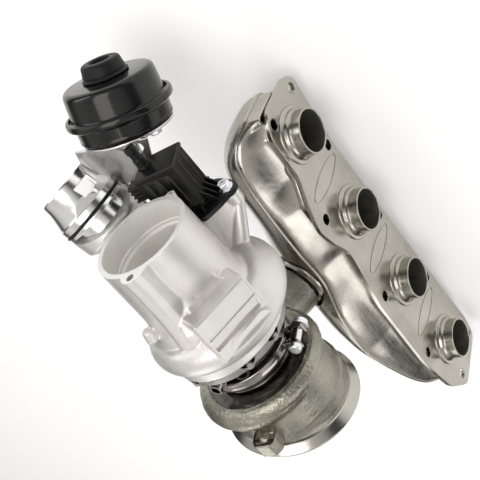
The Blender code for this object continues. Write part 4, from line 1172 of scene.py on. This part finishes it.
def turbine_wheel():
    hub = turned([
        (13.0, 0), (13.0, 7.4), (15.4, 8.0), (15.6, 20.0), (16.8, 21.5), (18.2, 18.0),
        (22.5, 12.5), (29.0, 8.5), (39.0, 7.0), (44.0, 6.4), (47.0, 4.0), (47.5, 0),
    ], ALONG_X, 96, 0.5)
    return add(hub, *blades(
        hub=[(41.5, 6.6), (33.0, 7.6), (23.5, 11.5), (17.0, 20.4)],
        tip=[(41.5, 21.0), (34.0, 21.2), (27.0, 22.6), (22.6, 24.0)],
        count=10, thick=1.5, twist=-0.95,
    ))


piece(turned([
    (SHAFT_END_X, 0), (SHAFT_END_X, 2.4), (-47.0, 2.4), (-47.0, 3.6), (-41.6, 3.6),
    (-33.0, 3.6), (-33.0, 5.0), (9.0, 5.0), (9.0, 7.6), (12.6, 7.6), (12.6, 0),
], ALONG_X, 64, 0.2), "rotor_shaft")
piece(compressor_wheel(), "compressor_wheel")
wheel_nut = hexagon((-80.0, 0, 0), (-75.8, 0, 0), 5.6, 0.3)
piece(cut(wheel_nut, rod((-82, 0, 0), (-74, 0, 0), 2.7, 32)), "compressor_nut")
piece(turbine_wheel(), "turbine_wheel")

# ---------------------------------------------------------------- V-band clamp
CLAMP_X = -7.2
CLAMP_OUT = polar(0, 1, -9.0)
CLAMP_ALONG = polar(0, 1, 81.0)
CLAMP_BOLT = polar(CLAMP_X, 48.6, -9.0)
CLAMP_BOLT_FRAME = axis_frame(CLAMP_BOLT, CLAMP_ALONG)


def v_band_clamp():
    band = turned([
        (-13.3, 33.7), (-13.9, 35.2), (-14.0, 38.6), (-13.4, 40.2), (-12.0, 40.6),
        (-10.9, 40.0), (-9.4, 40.4), (-7.0, 40.6), (-5.0, 40.2), (-3.0, 39.0), (-0.4, 35.4),
        (-0.6, 34.0), (-1.1, 33.7), (-4.3, 37.3), (-10.1, 37.3),
    ], ALONG_X, 192, 0.8)
    gap_frame = axis_frame(polar(CLAMP_X, 38.0, -9.0), CLAMP_OUT, X_AXIS)
    cut(band, block((20, 9.0, 20), gap_frame, 0))
    for offset in (-6.1, 9.0):
        centre = CLAMP_BOLT + CLAMP_ALONG * offset - polar(0, 3.2, -9.0)
        add(band, block((9.4, 2.6, 15.2), axis_frame(centre, CLAMP_OUT, X_AXIS), 0.9, 4))
    reach = CLAMP_ALONG * 20
    return cut(band, rod(CLAMP_BOLT - reach, CLAMP_BOLT + reach, 3.1))


piece(v_band_clamp(), "v_band_clamp", angle=50)
piece(turned([
    (-16, 0), (-16, 2.6), (-15.4, 2.9), (10.5, 2.9), (10.5, 5.0), (14.5, 5.0), (15.2, 4.0),
    (15.2, 0),
], CLAMP_BOLT_FRAME, 48, 0.4), "clamp_bolt")
piece(turned([
    (-13.8, 3.2), (-13.8, 5.4), (-13.2, 5.9), (-9.0, 5.9), (-9.0, 7.2), (-7.6, 7.2),
    (-7.6, 3.2),
], CLAMP_BOLT_FRAME, 12, 0.2), "clamp_nut")

# ---------------------------------------------------------------- compressor housing
INLET_X = -142.5
INLET_START_X = INLET_X - 3
INLET_BORE_R = 34.8
INLET_RIM_R = 38.3
COMP_BACK_X = -34.2
COMP_BACK_R = 50.6
COMP_SCROLL_X = -57.0
NECK_BASE = Vector((-131.0, -62.0, -34.0))
NECK_D = Vector((-45.0, -17.4, -5.0)).normalized()
NECK_FRAME = axis_frame(NECK_BASE, NECK_D)
PAD_DEG = 30.0
PAD_FRAME = axis_frame(polar(-74.5, 46.5, PAD_DEG), polar(0, 1, PAD_DEG), X_AXIS)
PAD_TOP = 12.0
# Recirculation valve: seat centre, its long and short directions, its two ears.
VALVE_C = Vector((-108.0, 0.0, -62.0))
VALVE_V = Vector((0.0, 0.966, -0.259)).normalized()
VALVE_W = X_AXIS.cross(VALVE_V)
VALVE_EARS = [VALVE_C + VALVE_V * v + VALVE_W * w for v, w in ((28.4, 0.4), (-30.0, -1.0))]
# Actuator can: the rod runs along ROD_D to its eye on the lever pin.
CAN_DIST = 250.0
ROD_D = Vector((0.947, -0.135, 0.281)).normalized()
EYE = Vector((PIN.x + 0.10, EYE_Y, PIN.z - 0.34))
CAN_C = EYE - ROD_D * CAN_DIST
CAN_FRAME = axis_frame(CAN_C, -ROD_D)


def can_point(x, y, z):
    return CAN_FRAME @ (Vector((x, y, z)) * MM) / MM


def foot_point(x):
    """Point on the axis of the bracket's bolt."""
    return can_point(x, -5, -94)


# Gas path (point, radius): round the spiral, then along to the outlet neck.
COMP_PATH = [
    (polar(COMP_SCROLL_X, 40.5 + 11.5 * f, 195.0 - 335.0 * f), 7.4 + 9.6 * f)
    for f in [k / 17 for k in range(18)]
] + [
    (Vector((-64.0, -48.0, -31.0)), 17.3), (Vector((-78.0, -55.0, -30.0)), 17.6),
    (Vector((-96.0, -57.5, -31.0)), 17.8), (Vector((-115.0, -58.5, -32.5)), 18.0),
    (NECK_BASE - NECK_D * 1.0, 18.2), (NECK_BASE + NECK_D * 13.0, 18.4),
]
# Broad rib from the mouth lug back to the scroll: (radius, degrees) of its crest.
RIB_CREST = (
    (39.2, 51.5), (41.2, 55.0), (44.2, 61.0), (46.6, 67.0), (47.4, 72.0), (46.9, 77.0),
    (44.6, 81.5), (41.0, 85.0), (37.0, 89.0),
)
# (x, radial growth) of the rib; (x, crest radius) of the step beside it;
# (x, radius, half angle) of the run-out before the pad.
RIB_STATIONS = ((INLET_START_X, 0.0), (-128.0, -0.4), (-104.0, 0.6), (-88.0, 2.4), (-72.0, 5.0))
STEP_STATIONS = (
    (-112.0, 37.0), (-104.0, 39.0), (-98.0, 41.6), (-93.0, 46.0), (-86.0, 52.0), (-78.0, 54.0),
)
WEDGE_STATIONS = (
    (-108.0, 34.0, 16.0), (-102.0, 36.6, 19.0), (-98.4, 39.4, 21.0), (-95.8, 43.0, 21.5),
    (-93.0, 48.0, 21.5),
)
# Sunk panels of the ribbed pad: x from, x to, y from, y to, depth below PAD_TOP.
PAD_PANELS = (
    (-18.4, -2.2, -23.0, 23.0, 1.2), (0.0, 8.2, -23.4, 21.4, 2.6),
    (10.2, 17.6, -23.4, 23.4, -0.8),
)


def rib_section(x, grow):
    base = [polar(x, 30.0, deg) for deg in (84.0, 76.0, 68.0, 60.0, 54.0)]
    return [polar(x, radius + grow, deg) for radius, deg in RIB_CREST] + base


def step_section(x, radius):
    rises = ((0.0, 42.0), (0.8, 48.0), (1.4, 54.0), (2.2, 60.0), (2.0, 66.0))
    crest = [polar(x, radius + rise, deg) for rise, deg in rises]
    return [polar(x, 33.0, 40.0), *crest, polar(x, 33.0, 68.0)]


def wedge_section(x, radius, half):
    """Flat-topped section, square to the radius at PAD_DEG."""
    angles = [PAD_DEG + half * k for k in (-1, -0.5, 0, 0.5, 1)]
    top = [polar(x, radius / math.cos(math.radians(deg - PAD_DEG)), deg) for deg in angles]
    return top + [polar(x, 30.0, deg) for deg in reversed(angles)]


def two_circle_hull(x, one, one_r, two, two_r, count=14):
    """Outline round two circles of centre (y, z), square to the shaft at x."""
    one, two = Vector((x, *one)), Vector((x, *two))
    points = []
    for i in range(count):
        angle = 2 * math.pi * (i + 0.5) / count
        out = Vector((0.0, math.cos(angle), math.sin(angle)))
        first = one.dot(out) + one_r > two.dot(out) + two_r
        points.append(one + out * one_r if first else two + out * two_r)
    return points


def valve_ear(ear):
    """Screw boss and the faceted web that ties it to the valve seat."""
    y, z = ear.y, ear.z
    boss = loft([
        ring3(ear, X_AXIS, 7.4, 40, Y_AXIS), ring3(ear + X_AXIS * 9.0, X_AXIS, 7.0, 40, Y_AXIS),
        ring3((-72.0, y * 0.72, z * 0.72), X_AXIS, 9.0, 40, Y_AXIS),
    ])
    web = loft([
        two_circle_hull(-107.6, (VALVE_C.y, VALVE_C.z), 14.0, (y * 0.9, z * 0.98), 5.0),
        two_circle_hull(-90.0, (1.5, -57.0), 14.5, (y * 0.78, z * 0.88), 6.0),
        two_circle_hull(-64.0, (4.0, -48.0), 14.0, (y * 0.66, z * 0.72), 8.0),
    ])
    return [boss, web]


def comp_features():
    """Everything that stands on the spun body of the housing."""
    features = [
        loft(path_rings(dense(COMP_PATH[:-1]), 4.0, 48)),
        turned([(-8, 0), (-6, 24.0), (-2, 28.6), (14.3, 29.4), (14.3, 0)], NECK_FRAME, 96, 1.0),
        block((41.0, 50.0, 24.0), PAD_FRAME, 1.2),
        loft([rib_section(*station) for station in RIB_STATIONS]),
        loft([step_section(*station) for station in STEP_STATIONS]),
        loft([wedge_section(*station) for station in WEDGE_STATIONS]),
        # Two lugs at the mouth and a nub on the scroll.
        rod(polar(INLET_START_X, 39.6, -77.5), polar(-120.0, 37.5, -77.5), 4.6, 32),
        rod(polar(INLET_START_X, 39.0, 190.0), polar(-120.0, 37.5, 190.0), 5.0, 32),
        rod(polar(-88.0, 44.0, 115.0), polar(-78.0, 46.5, 115.0), 5.0, 32),
        # Valve seat.
        loft([
            ring3(VALVE_C, X_AXIS, 16.0, 48, Y_AXIS),
            ring3((-62.0, 4.0, -46.0), X_AXIS, 15.0, 48, Y_AXIS),
        ]),
    ]
    for ear in VALVE_EARS:
        features += valve_ear(ear)
    features.append(rod(foot_point(14.6), foot_point(40), 8.0))
    # Web between the inlet tube and the duct to the outlet neck.
    features.append(loft([
        [(-130, -30, -10), (-130, -34, -28), (-130, -52, -30), (-130, -50, -12)],
        [(-84, -30, -6), (-84, -34, -30), (-84, -54, -32), (-84, -52, -10)],
    ]))
    return features


def comp_cuts():
    rim_r = INLET_RIM_R + 9
    return [
        loft(path_rings(dense(COMP_PATH), 0.0, 40)),
        turned([
            (-146, 0), (-146, INLET_BORE_R), (-124.4, 34.5), (-124.2, 33.7), (-121.6, 33.5),
            (-121.2, 31.6), (-119.6, 31.2), (-100, 30.0), (-80, 21.6), (-72, 20.6),
            (-64, 20.6), (-58, 22.0), (-54, 24.6), (-51.6, 27.6), (-51.0, 31.0),
            (-51.0, 46.8), (-33, 46.8), (-33, 0),
        ], ALONG_X, 144, 0.3),
        # Trims at the mouth, round its rim and across the neck, then the neck's socket.
        block((20, 130, 130), place(INLET_X - 10, 0, 0), 0),
        turned([
            (INLET_X - 8, rim_r), (INLET_X - 8, 90), (INLET_X + 0.5, 90), (INLET_X + 0.5, rim_r),
        ], ALONG_X, 96, 0),
        turned([(14.0, 0), (14.0, 40), (30, 40), (30, 0)], NECK_FRAME, 96, 0),
        turned([(4.0, 0), (4.0, 22.4), (15, 22.4), (15, 0)], NECK_FRAME, 96, 0),
        # Valve bore, bracket thread and the holes in two mouth lugs.
        rod(VALVE_C - X_AXIS * 2, (-84.0, 2.0, -54.0), 10.5),
        rod(foot_point(12), foot_point(24), 3.4),
        rod(polar(-146, 41.9, 72.7), polar(-130, 41.9, 72.7), 3.0),
        rod(polar(-146, 41.2, -77.5), polar(-134, 41.2, -77.5), 1.3),
    ]


def compressor_housing():
    house = turned([
        (INLET_START_X, 0), (INLET_START_X, INLET_RIM_R + 0.4), (INLET_X + 2, INLET_RIM_R + 0.4),
        (-90.0, 40.2), (-80.0, 41.5), (-73.0, 46.0), (-67.0, 49.6), (-50.0, COMP_BACK_R + 0.2),
        (COMP_BACK_X, COMP_BACK_R + 0.2), (COMP_BACK_X, 0),
    ], ALONG_X, 128, 0.5)
    add(house, *comp_features())
    melt(house, 0.8, 5)
    roughen(house, broad=0.10, broad_size=9.0, fine=0.025, fine_size=1.6)
    cut(house, *comp_cuts())
    panels = []
    for x0, x1, y0, y1, depth in PAD_PANELS:
        centre = at(PAD_FRAME, (x0 + x1) / 2, (y0 + y1) / 2, PAD_TOP - depth + 3.0)
        panels.append(block((x1 - x0, y1 - y0, 6.0), centre, 0.35))
    cut(house, *panels)
    small = at(PAD_FRAME, -14.0, 15.5, PAD_TOP - 1.3 + 3.0)
    return cut(house, block((4.6, 7.0, 6.0), small, 0.3))


def comp_machined(point, normal):
    """The inlet face, the neck face and the inlet bore."""
    if point.x < INLET_X + 0.4 and normal.x < -0.6:
        return True
    offset = point - NECK_BASE
    height = offset.dot(NECK_D)
    if height > 12.5 and (offset - NECK_D * height).length < 31:
        return True
    return off_axis(point) < INLET_BORE_R + 0.4 and point.x < -60


def outlet_adapter():
    adapter = turned([
        (4.6, 18.6), (4.6, 22.0), (14.4, 22.0), (14.4, 29.4), (17.4, 29.4), (17.4, 27.6),
        (19.8, 27.6), (19.8, 29.4), (25.4, 29.4), (26.4, 28.6), (33.0, 26.4), (36.0, 25.4),
        (41.0, 24.0), (48.0, 23.1), (49.0, 22.5), (49.0, 20.4), (30.0, 19.6),
    ], NECK_FRAME, 144, 0.35)
    # Three windows and two flats: degrees, floor radius, (deep, wide, high), middle, soft.
    for deg, radius, size, middle, soft in (
        (84.0, 21.9, (20.0, 17.0, 11.0), 35.5, 0.6),
        (146.0, 24.4, (20.0, 12.0, 12.0), 31.0, 0.6),
        (262.0, 21.9, (20.0, 17.0, 11.0), 35.5, 0.6),
        (112.0, 26.0, (12.0, 26.0, 8.6), 28.9, 0.2),
        (58.0, 26.4, (12.0, 26.0, 8.6), 28.9, 0.2),
    ):
        frame = NECK_FRAME @ Matrix.Rotation(math.radians(deg), 4, "Z")
        cut(adapter, block(size, at(frame, radius + size[0] / 2, 0, middle), soft))
    return adapter


piece(compressor_housing(), "compressor_housing", angle=32, more=[BORE_ALU],
      pick=comp_machined)
piece(turned([
    (-34.1, 8.6), (-34.1, 46.0), (-46.2, 46.0), (-46.2, 28.8), (-42.6, 28.2), (-42.6, 8.6),
], ALONG_X, 96, 0.4), "compressor_backplate")
piece(outlet_adapter(), "outlet_adapter")
piece(turned([
    (17.8, 27.9), (17.8, 29.6), (18.6, 30.2), (19.4, 29.6), (19.4, 27.9),
], NECK_FRAME, 112, 0.4), "adapter_oring")

# ---------------------------------------------------------------- recirculation valve
FLANGE_C = VALVE_C + Vector((-2.4, 0, 0))
VALVE_FRAME = basis(X_AXIS, VALVE_V, VALVE_W, FLANGE_C)
NIPPLE_A, NIPPLE_B = Vector((-150.0, -15.6, -60.0)), Vector((-177.5, -16.2, -60.5))
FLANGE_EDGE = [
    (-33, -8), (-24, -12), (-16, -19), (14, -20), (22, -16), (32, -8), (36.5, -3), (36.3, 3),
    (30, 9), (24.3, 15.4), (11, 25.6), (4, 20.5), (-8, 18), (-18, 17), (-25, 12), (-34, 6),
    (-37, -1),
]


def valve_block(size, x, y, z, soft, steps=3):
    return block(size, at(VALVE_FRAME, x, y, z), soft, steps)


def valve_nipple():
    length = (NIPPLE_B - NIPPLE_A).length
    return turned([
        (0, 0), (0, 5.6), (9.4, 5.6), (10.0, 4.9), (length * 0.6, 4.7),
        (length * 0.6 + 0.5, 4.1), (length - 5, 4.0), (length - 4.4, 4.9), (length, 4.5),
        (length, 0),
    ], axis_frame(NIPPLE_A, NIPPLE_B - NIPPLE_A), 48, 0.3)


def valve_body():
    body = valve_block((45.0, 36.6, 28.6), -24.0, -4.5, 0, 2.4, 4)
    flange_frame = basis(VALVE_V, VALVE_W, X_AXIS, FLANGE_C)
    parts = [
        outline([FLANGE_EDGE], 4.0, flange_frame, 0.5, 3.0), valve_nipple(),
        # End cap and seam band.
        valve_block((3.4, 37.6, 29.6), -46.0, -4.5, 0, 1.3),
        valve_block((1.8, 37.8, 29.8), -9.0, -4.5, 0, 0.7),
    ]
    parts += [valve_block((30.0, 1.5, 30.2), -26.0, y, 0, 0.5) for y in (-14.0, -4.5, 5.0)]
    parts += [valve_block((34.0, 37.9, 1.4), -26.0, -4.5, z, 0.5) for z in (-5.0, 5.0)]
    # Gussets behind the flange, on the +V side and then on the +W side.
    tall = [(-1.0, 12.0), (-1.0, 22.5), (-5.0, 21.0), (-17.0, 12.0)]
    short = [(-1.0, 12.5), (-1.0, 18.4), (-3.0, 17.6), (-12.0, 12.5)]
    for w in (-9.0, -3.2, 3.2, 9.0):
        parts.append(outline([tall], 1.6, at(VALVE_FRAME, 0, 0, w), 0.3))
    for v in (-12.0, -4.0, 4.0, 11.0):
        frame = basis(X_AXIS, VALVE_W, -VALVE_V, FLANGE_C + VALVE_V * v)
        parts.append(outline([short], 1.6, frame, 0.3))
    # Ribbed block on the -V side.
    for x in (-41.0, -37.0, -33.0, -29.0):
        parts.append(valve_block((1.6, 13.0, 13.0), x, -27.5, 4.5, 0.4))
    parts.append(valve_block((15.0, 12.0, 11.6), -35.0, -27.0, 4.5, 1.2))
    add(body, *parts)
    cut(
        body, rod(VALVE_C + X_AXIS * 4, VALVE_C - X_AXIS * 40, 10.5),
        rod(NIPPLE_A.lerp(NIPPLE_B, 0.4), NIPPLE_B + (NIPPLE_B - NIPPLE_A) * 0.2, 3.0),
    )
    for ear in VALVE_EARS:
        cut(body, rod(ear - X_AXIS * 20, ear - X_AXIS * 4.4, 6.8, 40))
    return body


def valve_screw(ear):
    """Washer and hexagon head with a hexagon socket."""
    frame = axis_frame(ear - X_AXIS * 4.4, -X_AXIS)
    profile = [(0.3, 0), (0.3, 6.2), (1.3, 6.2), (1.7, 5.4), (1.7, 0)]
    screw = turned(profile, frame, 48, 0.2)
    add(screw, hexagon(ear - X_AXIS * 5.9, ear - X_AXIS * 10.8, 5.2, 0.3))
    return cut(screw, turned([(4.2, 0), (4.2, 2.3), (8, 2.3), (8, 0)], frame, 6, 0))


piece(valve_body(), "valve_body", angle=30)
piece(turned([
    (-20, 0), (-20, 4.2), (-1.5, 4.2), (-1.5, 9.6), (1.5, 9.6), (2.5, 8.0), (2.5, 0),
], axis_frame(VALVE_C - X_AXIS * 6, X_AXIS), 64, 0.3), "valve_plunger")
for k, ear in enumerate(VALVE_EARS):
    piece(valve_screw(ear), "valve_screw_%d" % (k + 1))

# ---------------------------------------------------------------- boost actuator
# Corners of the bracket's folded plates in the can's frame.
BRACKET_PLATES = (
    ((30.0, -34.0, -18.9), (31.5, 1.5, -18.9), (22.5, -3.0, -56.0), (18.5, -28.0, -50.0),
     (26.0, -37.0, -33.0)),
    ((31.5, 1.0, -18.9), (22.8, 34.0, -18.9), (17.5, 27.0, -36.0), (18.5, 10.0, -50.0),
     (22.5, -3.5, -55.0)),
    ((17.7, -23.0, -45.0), (22.7, -3.5, -54.5), (13.0, 1.0, -83.0), (13.0, -15.0, -83.0)),
    ((13.0, -14.5, -81.5), (13.0, 4.5, -81.5), (13.0, 4.5, -106.0), (13.0, -14.5, -106.0)),
)


def actuator_rod():
    shank = rod(CAN_C - ROD_D * 6.5, EYE - ROD_D * 6.6, 3.0)
    add(shank, outline([circle(7.4, 48)], 3.0, axis_frame(EYE, -Y_AXIS), 0.4))
    return cut(shank, rod(EYE + Y_AXIS * 5, EYE - Y_AXIS * 5, 3.7))


def actuator_bracket():
    """Disc under the can with a folded leg down to the compressor housing."""
    bracket = turned(
        [(-17.8, 7.0), (-17.8, 37.5), (-20.0, 37.5), (-20.0, 7.0)], CAN_FRAME, 112, 0.4)
    add(bracket, *[slab([can_point(*p) for p in plate], 2.4) for plate in BRACKET_PLATES])
    cut(bracket, rod(foot_point(6), foot_point(20), 3.4))
    cut(bracket, rod(can_point(34, 25, -25.5), can_point(8, 19, -25.5), 4.2, 40))
    return melt(bracket, 0.5, 3)


piece(turned([
    (0.4, 36.8), (0.4, 42.0), (2.2, 42.0), (2.8, 39.4), (4.2, 38.6), (20.0, 37.7),
    (22.6, 37.3), (24.4, 36.4), (25.5, 34.8), (26.0, 32.0), (26.4, 20.0), (26.4, 14.0),
    (25.0, 14.0), (24.0, 33.0), (22.0, 36.0),
], CAN_FRAME, 144, 0.9), "actuator_cover")
piece(turned([
    (-1.6, 36.0), (-0.7, 40.9), (-0.7, 42.2), (2.6, 42.4), (3.0, 41.0), (4.0, 41.0),
    (3.9, 43.0), (3.0, 44.0), (1.0, 44.3), (-1.2, 44.2), (-2.4, 43.0), (-2.8, 40.2),
    (-4.4, 38.9), (-13.0, 38.5), (-14.4, 38.9), (-15.6, 38.6), (-16.8, 36.8), (-17.3, 33.0),
    (-17.3, 6.0), (-15.8, 6.0), (-15.8, 32.0), (-14.5, 35.0),
], CAN_FRAME, 144, 0.6), "actuator_base")
piece(turned([
    (26.9, 6.0), (26.9, 18.8), (28.0, 19.0), (28.8, 17.8), (29.4, 17.0), (30.4, 17.4),
    (31.6, 17.2), (34.0, 16.6), (37.6, 16.0), (39.0, 15.0), (39.6, 13.4), (39.6, 9.0),
    (38.6, 8.2), (35.0, 8.0), (33.0, 6.0),
], CAN_FRAME, 112, 0.7), "actuator_vent_cap")
piece(actuator_rod(), "actuator_rod")
locknut = hexagon(EYE - ROD_D * 40.0, EYE - ROD_D * 45.0, 6.4)
piece(cut(locknut, rod(EYE - ROD_D * 38.0, EYE - ROD_D * 47.0, 3.7)), "rod_locknut")
piece(actuator_bracket(), "actuator_bracket", LIGHT_SHEET, angle=40)
piece(turned([
    (5.5, 0), (5.5, 5.4), (9.5, 5.8), (9.6, 8.4), (11.0, 8.4), (11.4, 5.8), (11.4, 3.0),
    (22.0, 3.0), (22.0, 0),
], axis_frame(foot_point(0), foot_point(1) - foot_point(0)), 6, 0.2), "bracket_bolt")
can_side = can_point(0, 1, 0) - CAN_C
for k, offset in enumerate((24, -24)):
    side = can_side * offset
    nut = hexagon(CAN_C + ROD_D * 20.9 + side, CAN_C + ROD_D * 26.0 + side, 5.6)
    piece(nut, "bracket_nut_%d" % (k + 1))

# ---------------------------------------------------------------- oil fittings
# Painted shade: the oil feed fitting takes the dark steel look because it sits in the shadowed
# gap by the V-band.
piece(turned([
    (35.3, 3.4), (35.3, 5.9), (41.0, 5.9), (41.0, 5.2), (49.0, 5.2), (49.0, 3.4),
], axis_frame((BOSS_X, 0, 0), Z_AXIS), 64, 0.3), "oil_feed_fitting", LOOKS["dark_steel"])
drain_edge = [(12.2 * c, 19.0 * s) for c, s in circle(1.0, 60)]
piece(outline([drain_edge, circle(5.2, 40)], 4.0,
              axis_frame((BOSS_X, 0, -45.2), -Z_AXIS, X_AXIS), 0.5), "oil_drain_flange")

for part in (seam_lip, strip):
    piece(part, "manifold_front_shell")
    part.name = "manifold_front_shell_seam"

# ---------------------------------------------------------------- hand over to the frame
# CAD nodes shown as they are get the fine looks too.
replaced = {node for _, node in FINE}
for name, part in NODES.items():
    if name in replaced:
        continue
    if part.material_slots:
        for slot in part.material_slots:
            slot.material = LOOKS[SLOT_OF[name]]
    else:
        part.data.materials.append(LOOKS[SLOT_OF[name]])

# The pieces are laid out from the rotor axis; the CAD shaft says where that axis is.
shaft_low, shaft_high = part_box("rotor_shaft")
SHIFT = Vector((
    shaft_low[0] - SHAFT_END_X * MM, (shaft_low[1] + shaft_high[1]) / 2,
    (shaft_low[2] + shaft_high[2]) / 2,
))
for part, node in FINE:
    part.matrix_world = Matrix.Translation(SHIFT) @ part.matrix_world
bpy.context.view_layer.update()
for part, node in FINE:
    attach(part, BODY_OF[node])
    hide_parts(node)

# ---------------------------------------------------------------- stage (metres)
FLOOR_GAP = 0.006
LIGHT_TARGET = Vector((0.0, 0.0, -0.06))
CAMERA_PLACE = Vector((-0.417505, 0.432609, 0.329522))
CAMERA_TURN = Matrix((
    (0.556, -0.647, -0.5218), (0.7645, 0.1517, 0.6265), (-0.3262, -0.7472, 0.579),
))
# Sky grey by height: (position, value) from just below the horizon to overhead.
SKY = ((0.0, 0.30), (0.16, 0.07), (0.34, 0.10), (0.5, 0.85), (0.8, 1.15), (1.0, 0.8))


def make_floor():
    bm = bmesh.new()
    bmesh.ops.create_grid(bm, x_segments=8, y_segments=8, size=6.0)
    below = Matrix.Translation((0.0, 0.0, CAD_BOX[0][2] - FLOOR_GAP))
    floor = from_bm(bm, below, "floor")
    look = Look("floor_look")
    speck = look.span(look.noise(scale=9.0, detail=3.0), start=0.3, end=0.7, high=0.15)
    tone = look.mix(speck, (0.94, 0.94, 0.94), (0.92, 0.92, 0.92))
    floor.data.materials.append(look.finish(
        tone, rough=0.85, metal=0.0, Emission_Color=(1.0, 1.0, 1.0), Emission_Strength=0.22))


def make_world():
    world = bpy.data.worlds.new("studio")
    bpy.context.scene.world = world
    world.use_nodes = True
    world.node_tree.nodes.clear()
    sky = Nodes(world.node_tree)
    direction = sky.node("ShaderNodeTexCoord", {})["Generated"]
    height = sky.node("ShaderNodeSeparateXYZ", {0: direction})["Z"]
    ramp = sky.node("ShaderNodeValToRGB", {"Fac": sky.span(height, start=-0.1, end=1.0)})
    stops = ramp["Color"].node.color_ramp.elements
    while len(stops) < len(SKY):
        stops.new(0.5)
    for stop, (position, value) in zip(stops, SKY):
        stop.position = position
        stop.color = (value, value * 0.99, value * 0.965, 1.0)
    inputs = {"Color": ramp["Color"], "Strength": 0.62}
    light = sky.node("ShaderNodeBackground", inputs)["Background"]
    sky.node("ShaderNodeOutputWorld", {"Surface": light})


def softbox(name, where, size, power, tint=(1.0, 1.0, 1.0)):
    """Area light aimed at LIGHT_TARGET."""
    data = bpy.data.lights.new(name, "AREA")
    data.shape = "RECTANGLE"
    data.size, data.size_y = size
    data.energy = power
    data.color = tint
    lamp = bpy.data.objects.new(name, data)
    lamp.matrix_world = axis_frame((0, 0, 0), (Vector(where) - LIGHT_TARGET).normalized())
    lamp.location = Vector(where) + SHIFT
    bpy.context.scene.collection.objects.link(lamp)


def make_camera():
    data = bpy.data.cameras.new("camera")
    data.sensor_width = 36.0
    data.lens = 64.2729
    data.clip_start = 0.01
    camera = bpy.data.objects.new("camera", data)
    matrix = CAMERA_TURN.to_4x4()
    matrix.translation = CAMERA_PLACE + SHIFT
    camera.matrix_world = matrix
    bpy.context.scene.collection.objects.link(camera)
    bpy.context.scene.camera = camera


make_floor()
make_world()
softbox("key", where=(-0.5, 0.25, 1.0), size=(0.9, 0.7), power=5.2, tint=(1.0, 0.985, 0.96))
softbox("fill", where=(0.7, 1.0, 0.6), size=(0.9, 0.5), power=2.6)
softbox("rim", where=(-0.9, -0.6, 0.5), size=(0.35, 0.9), power=2.4)
softbox("far", where=(0.9, -0.5, 0.7), size=(0.7, 0.5), power=2.2)
make_camera()
bpy.context.scene.view_settings.view_transform = "Standard"
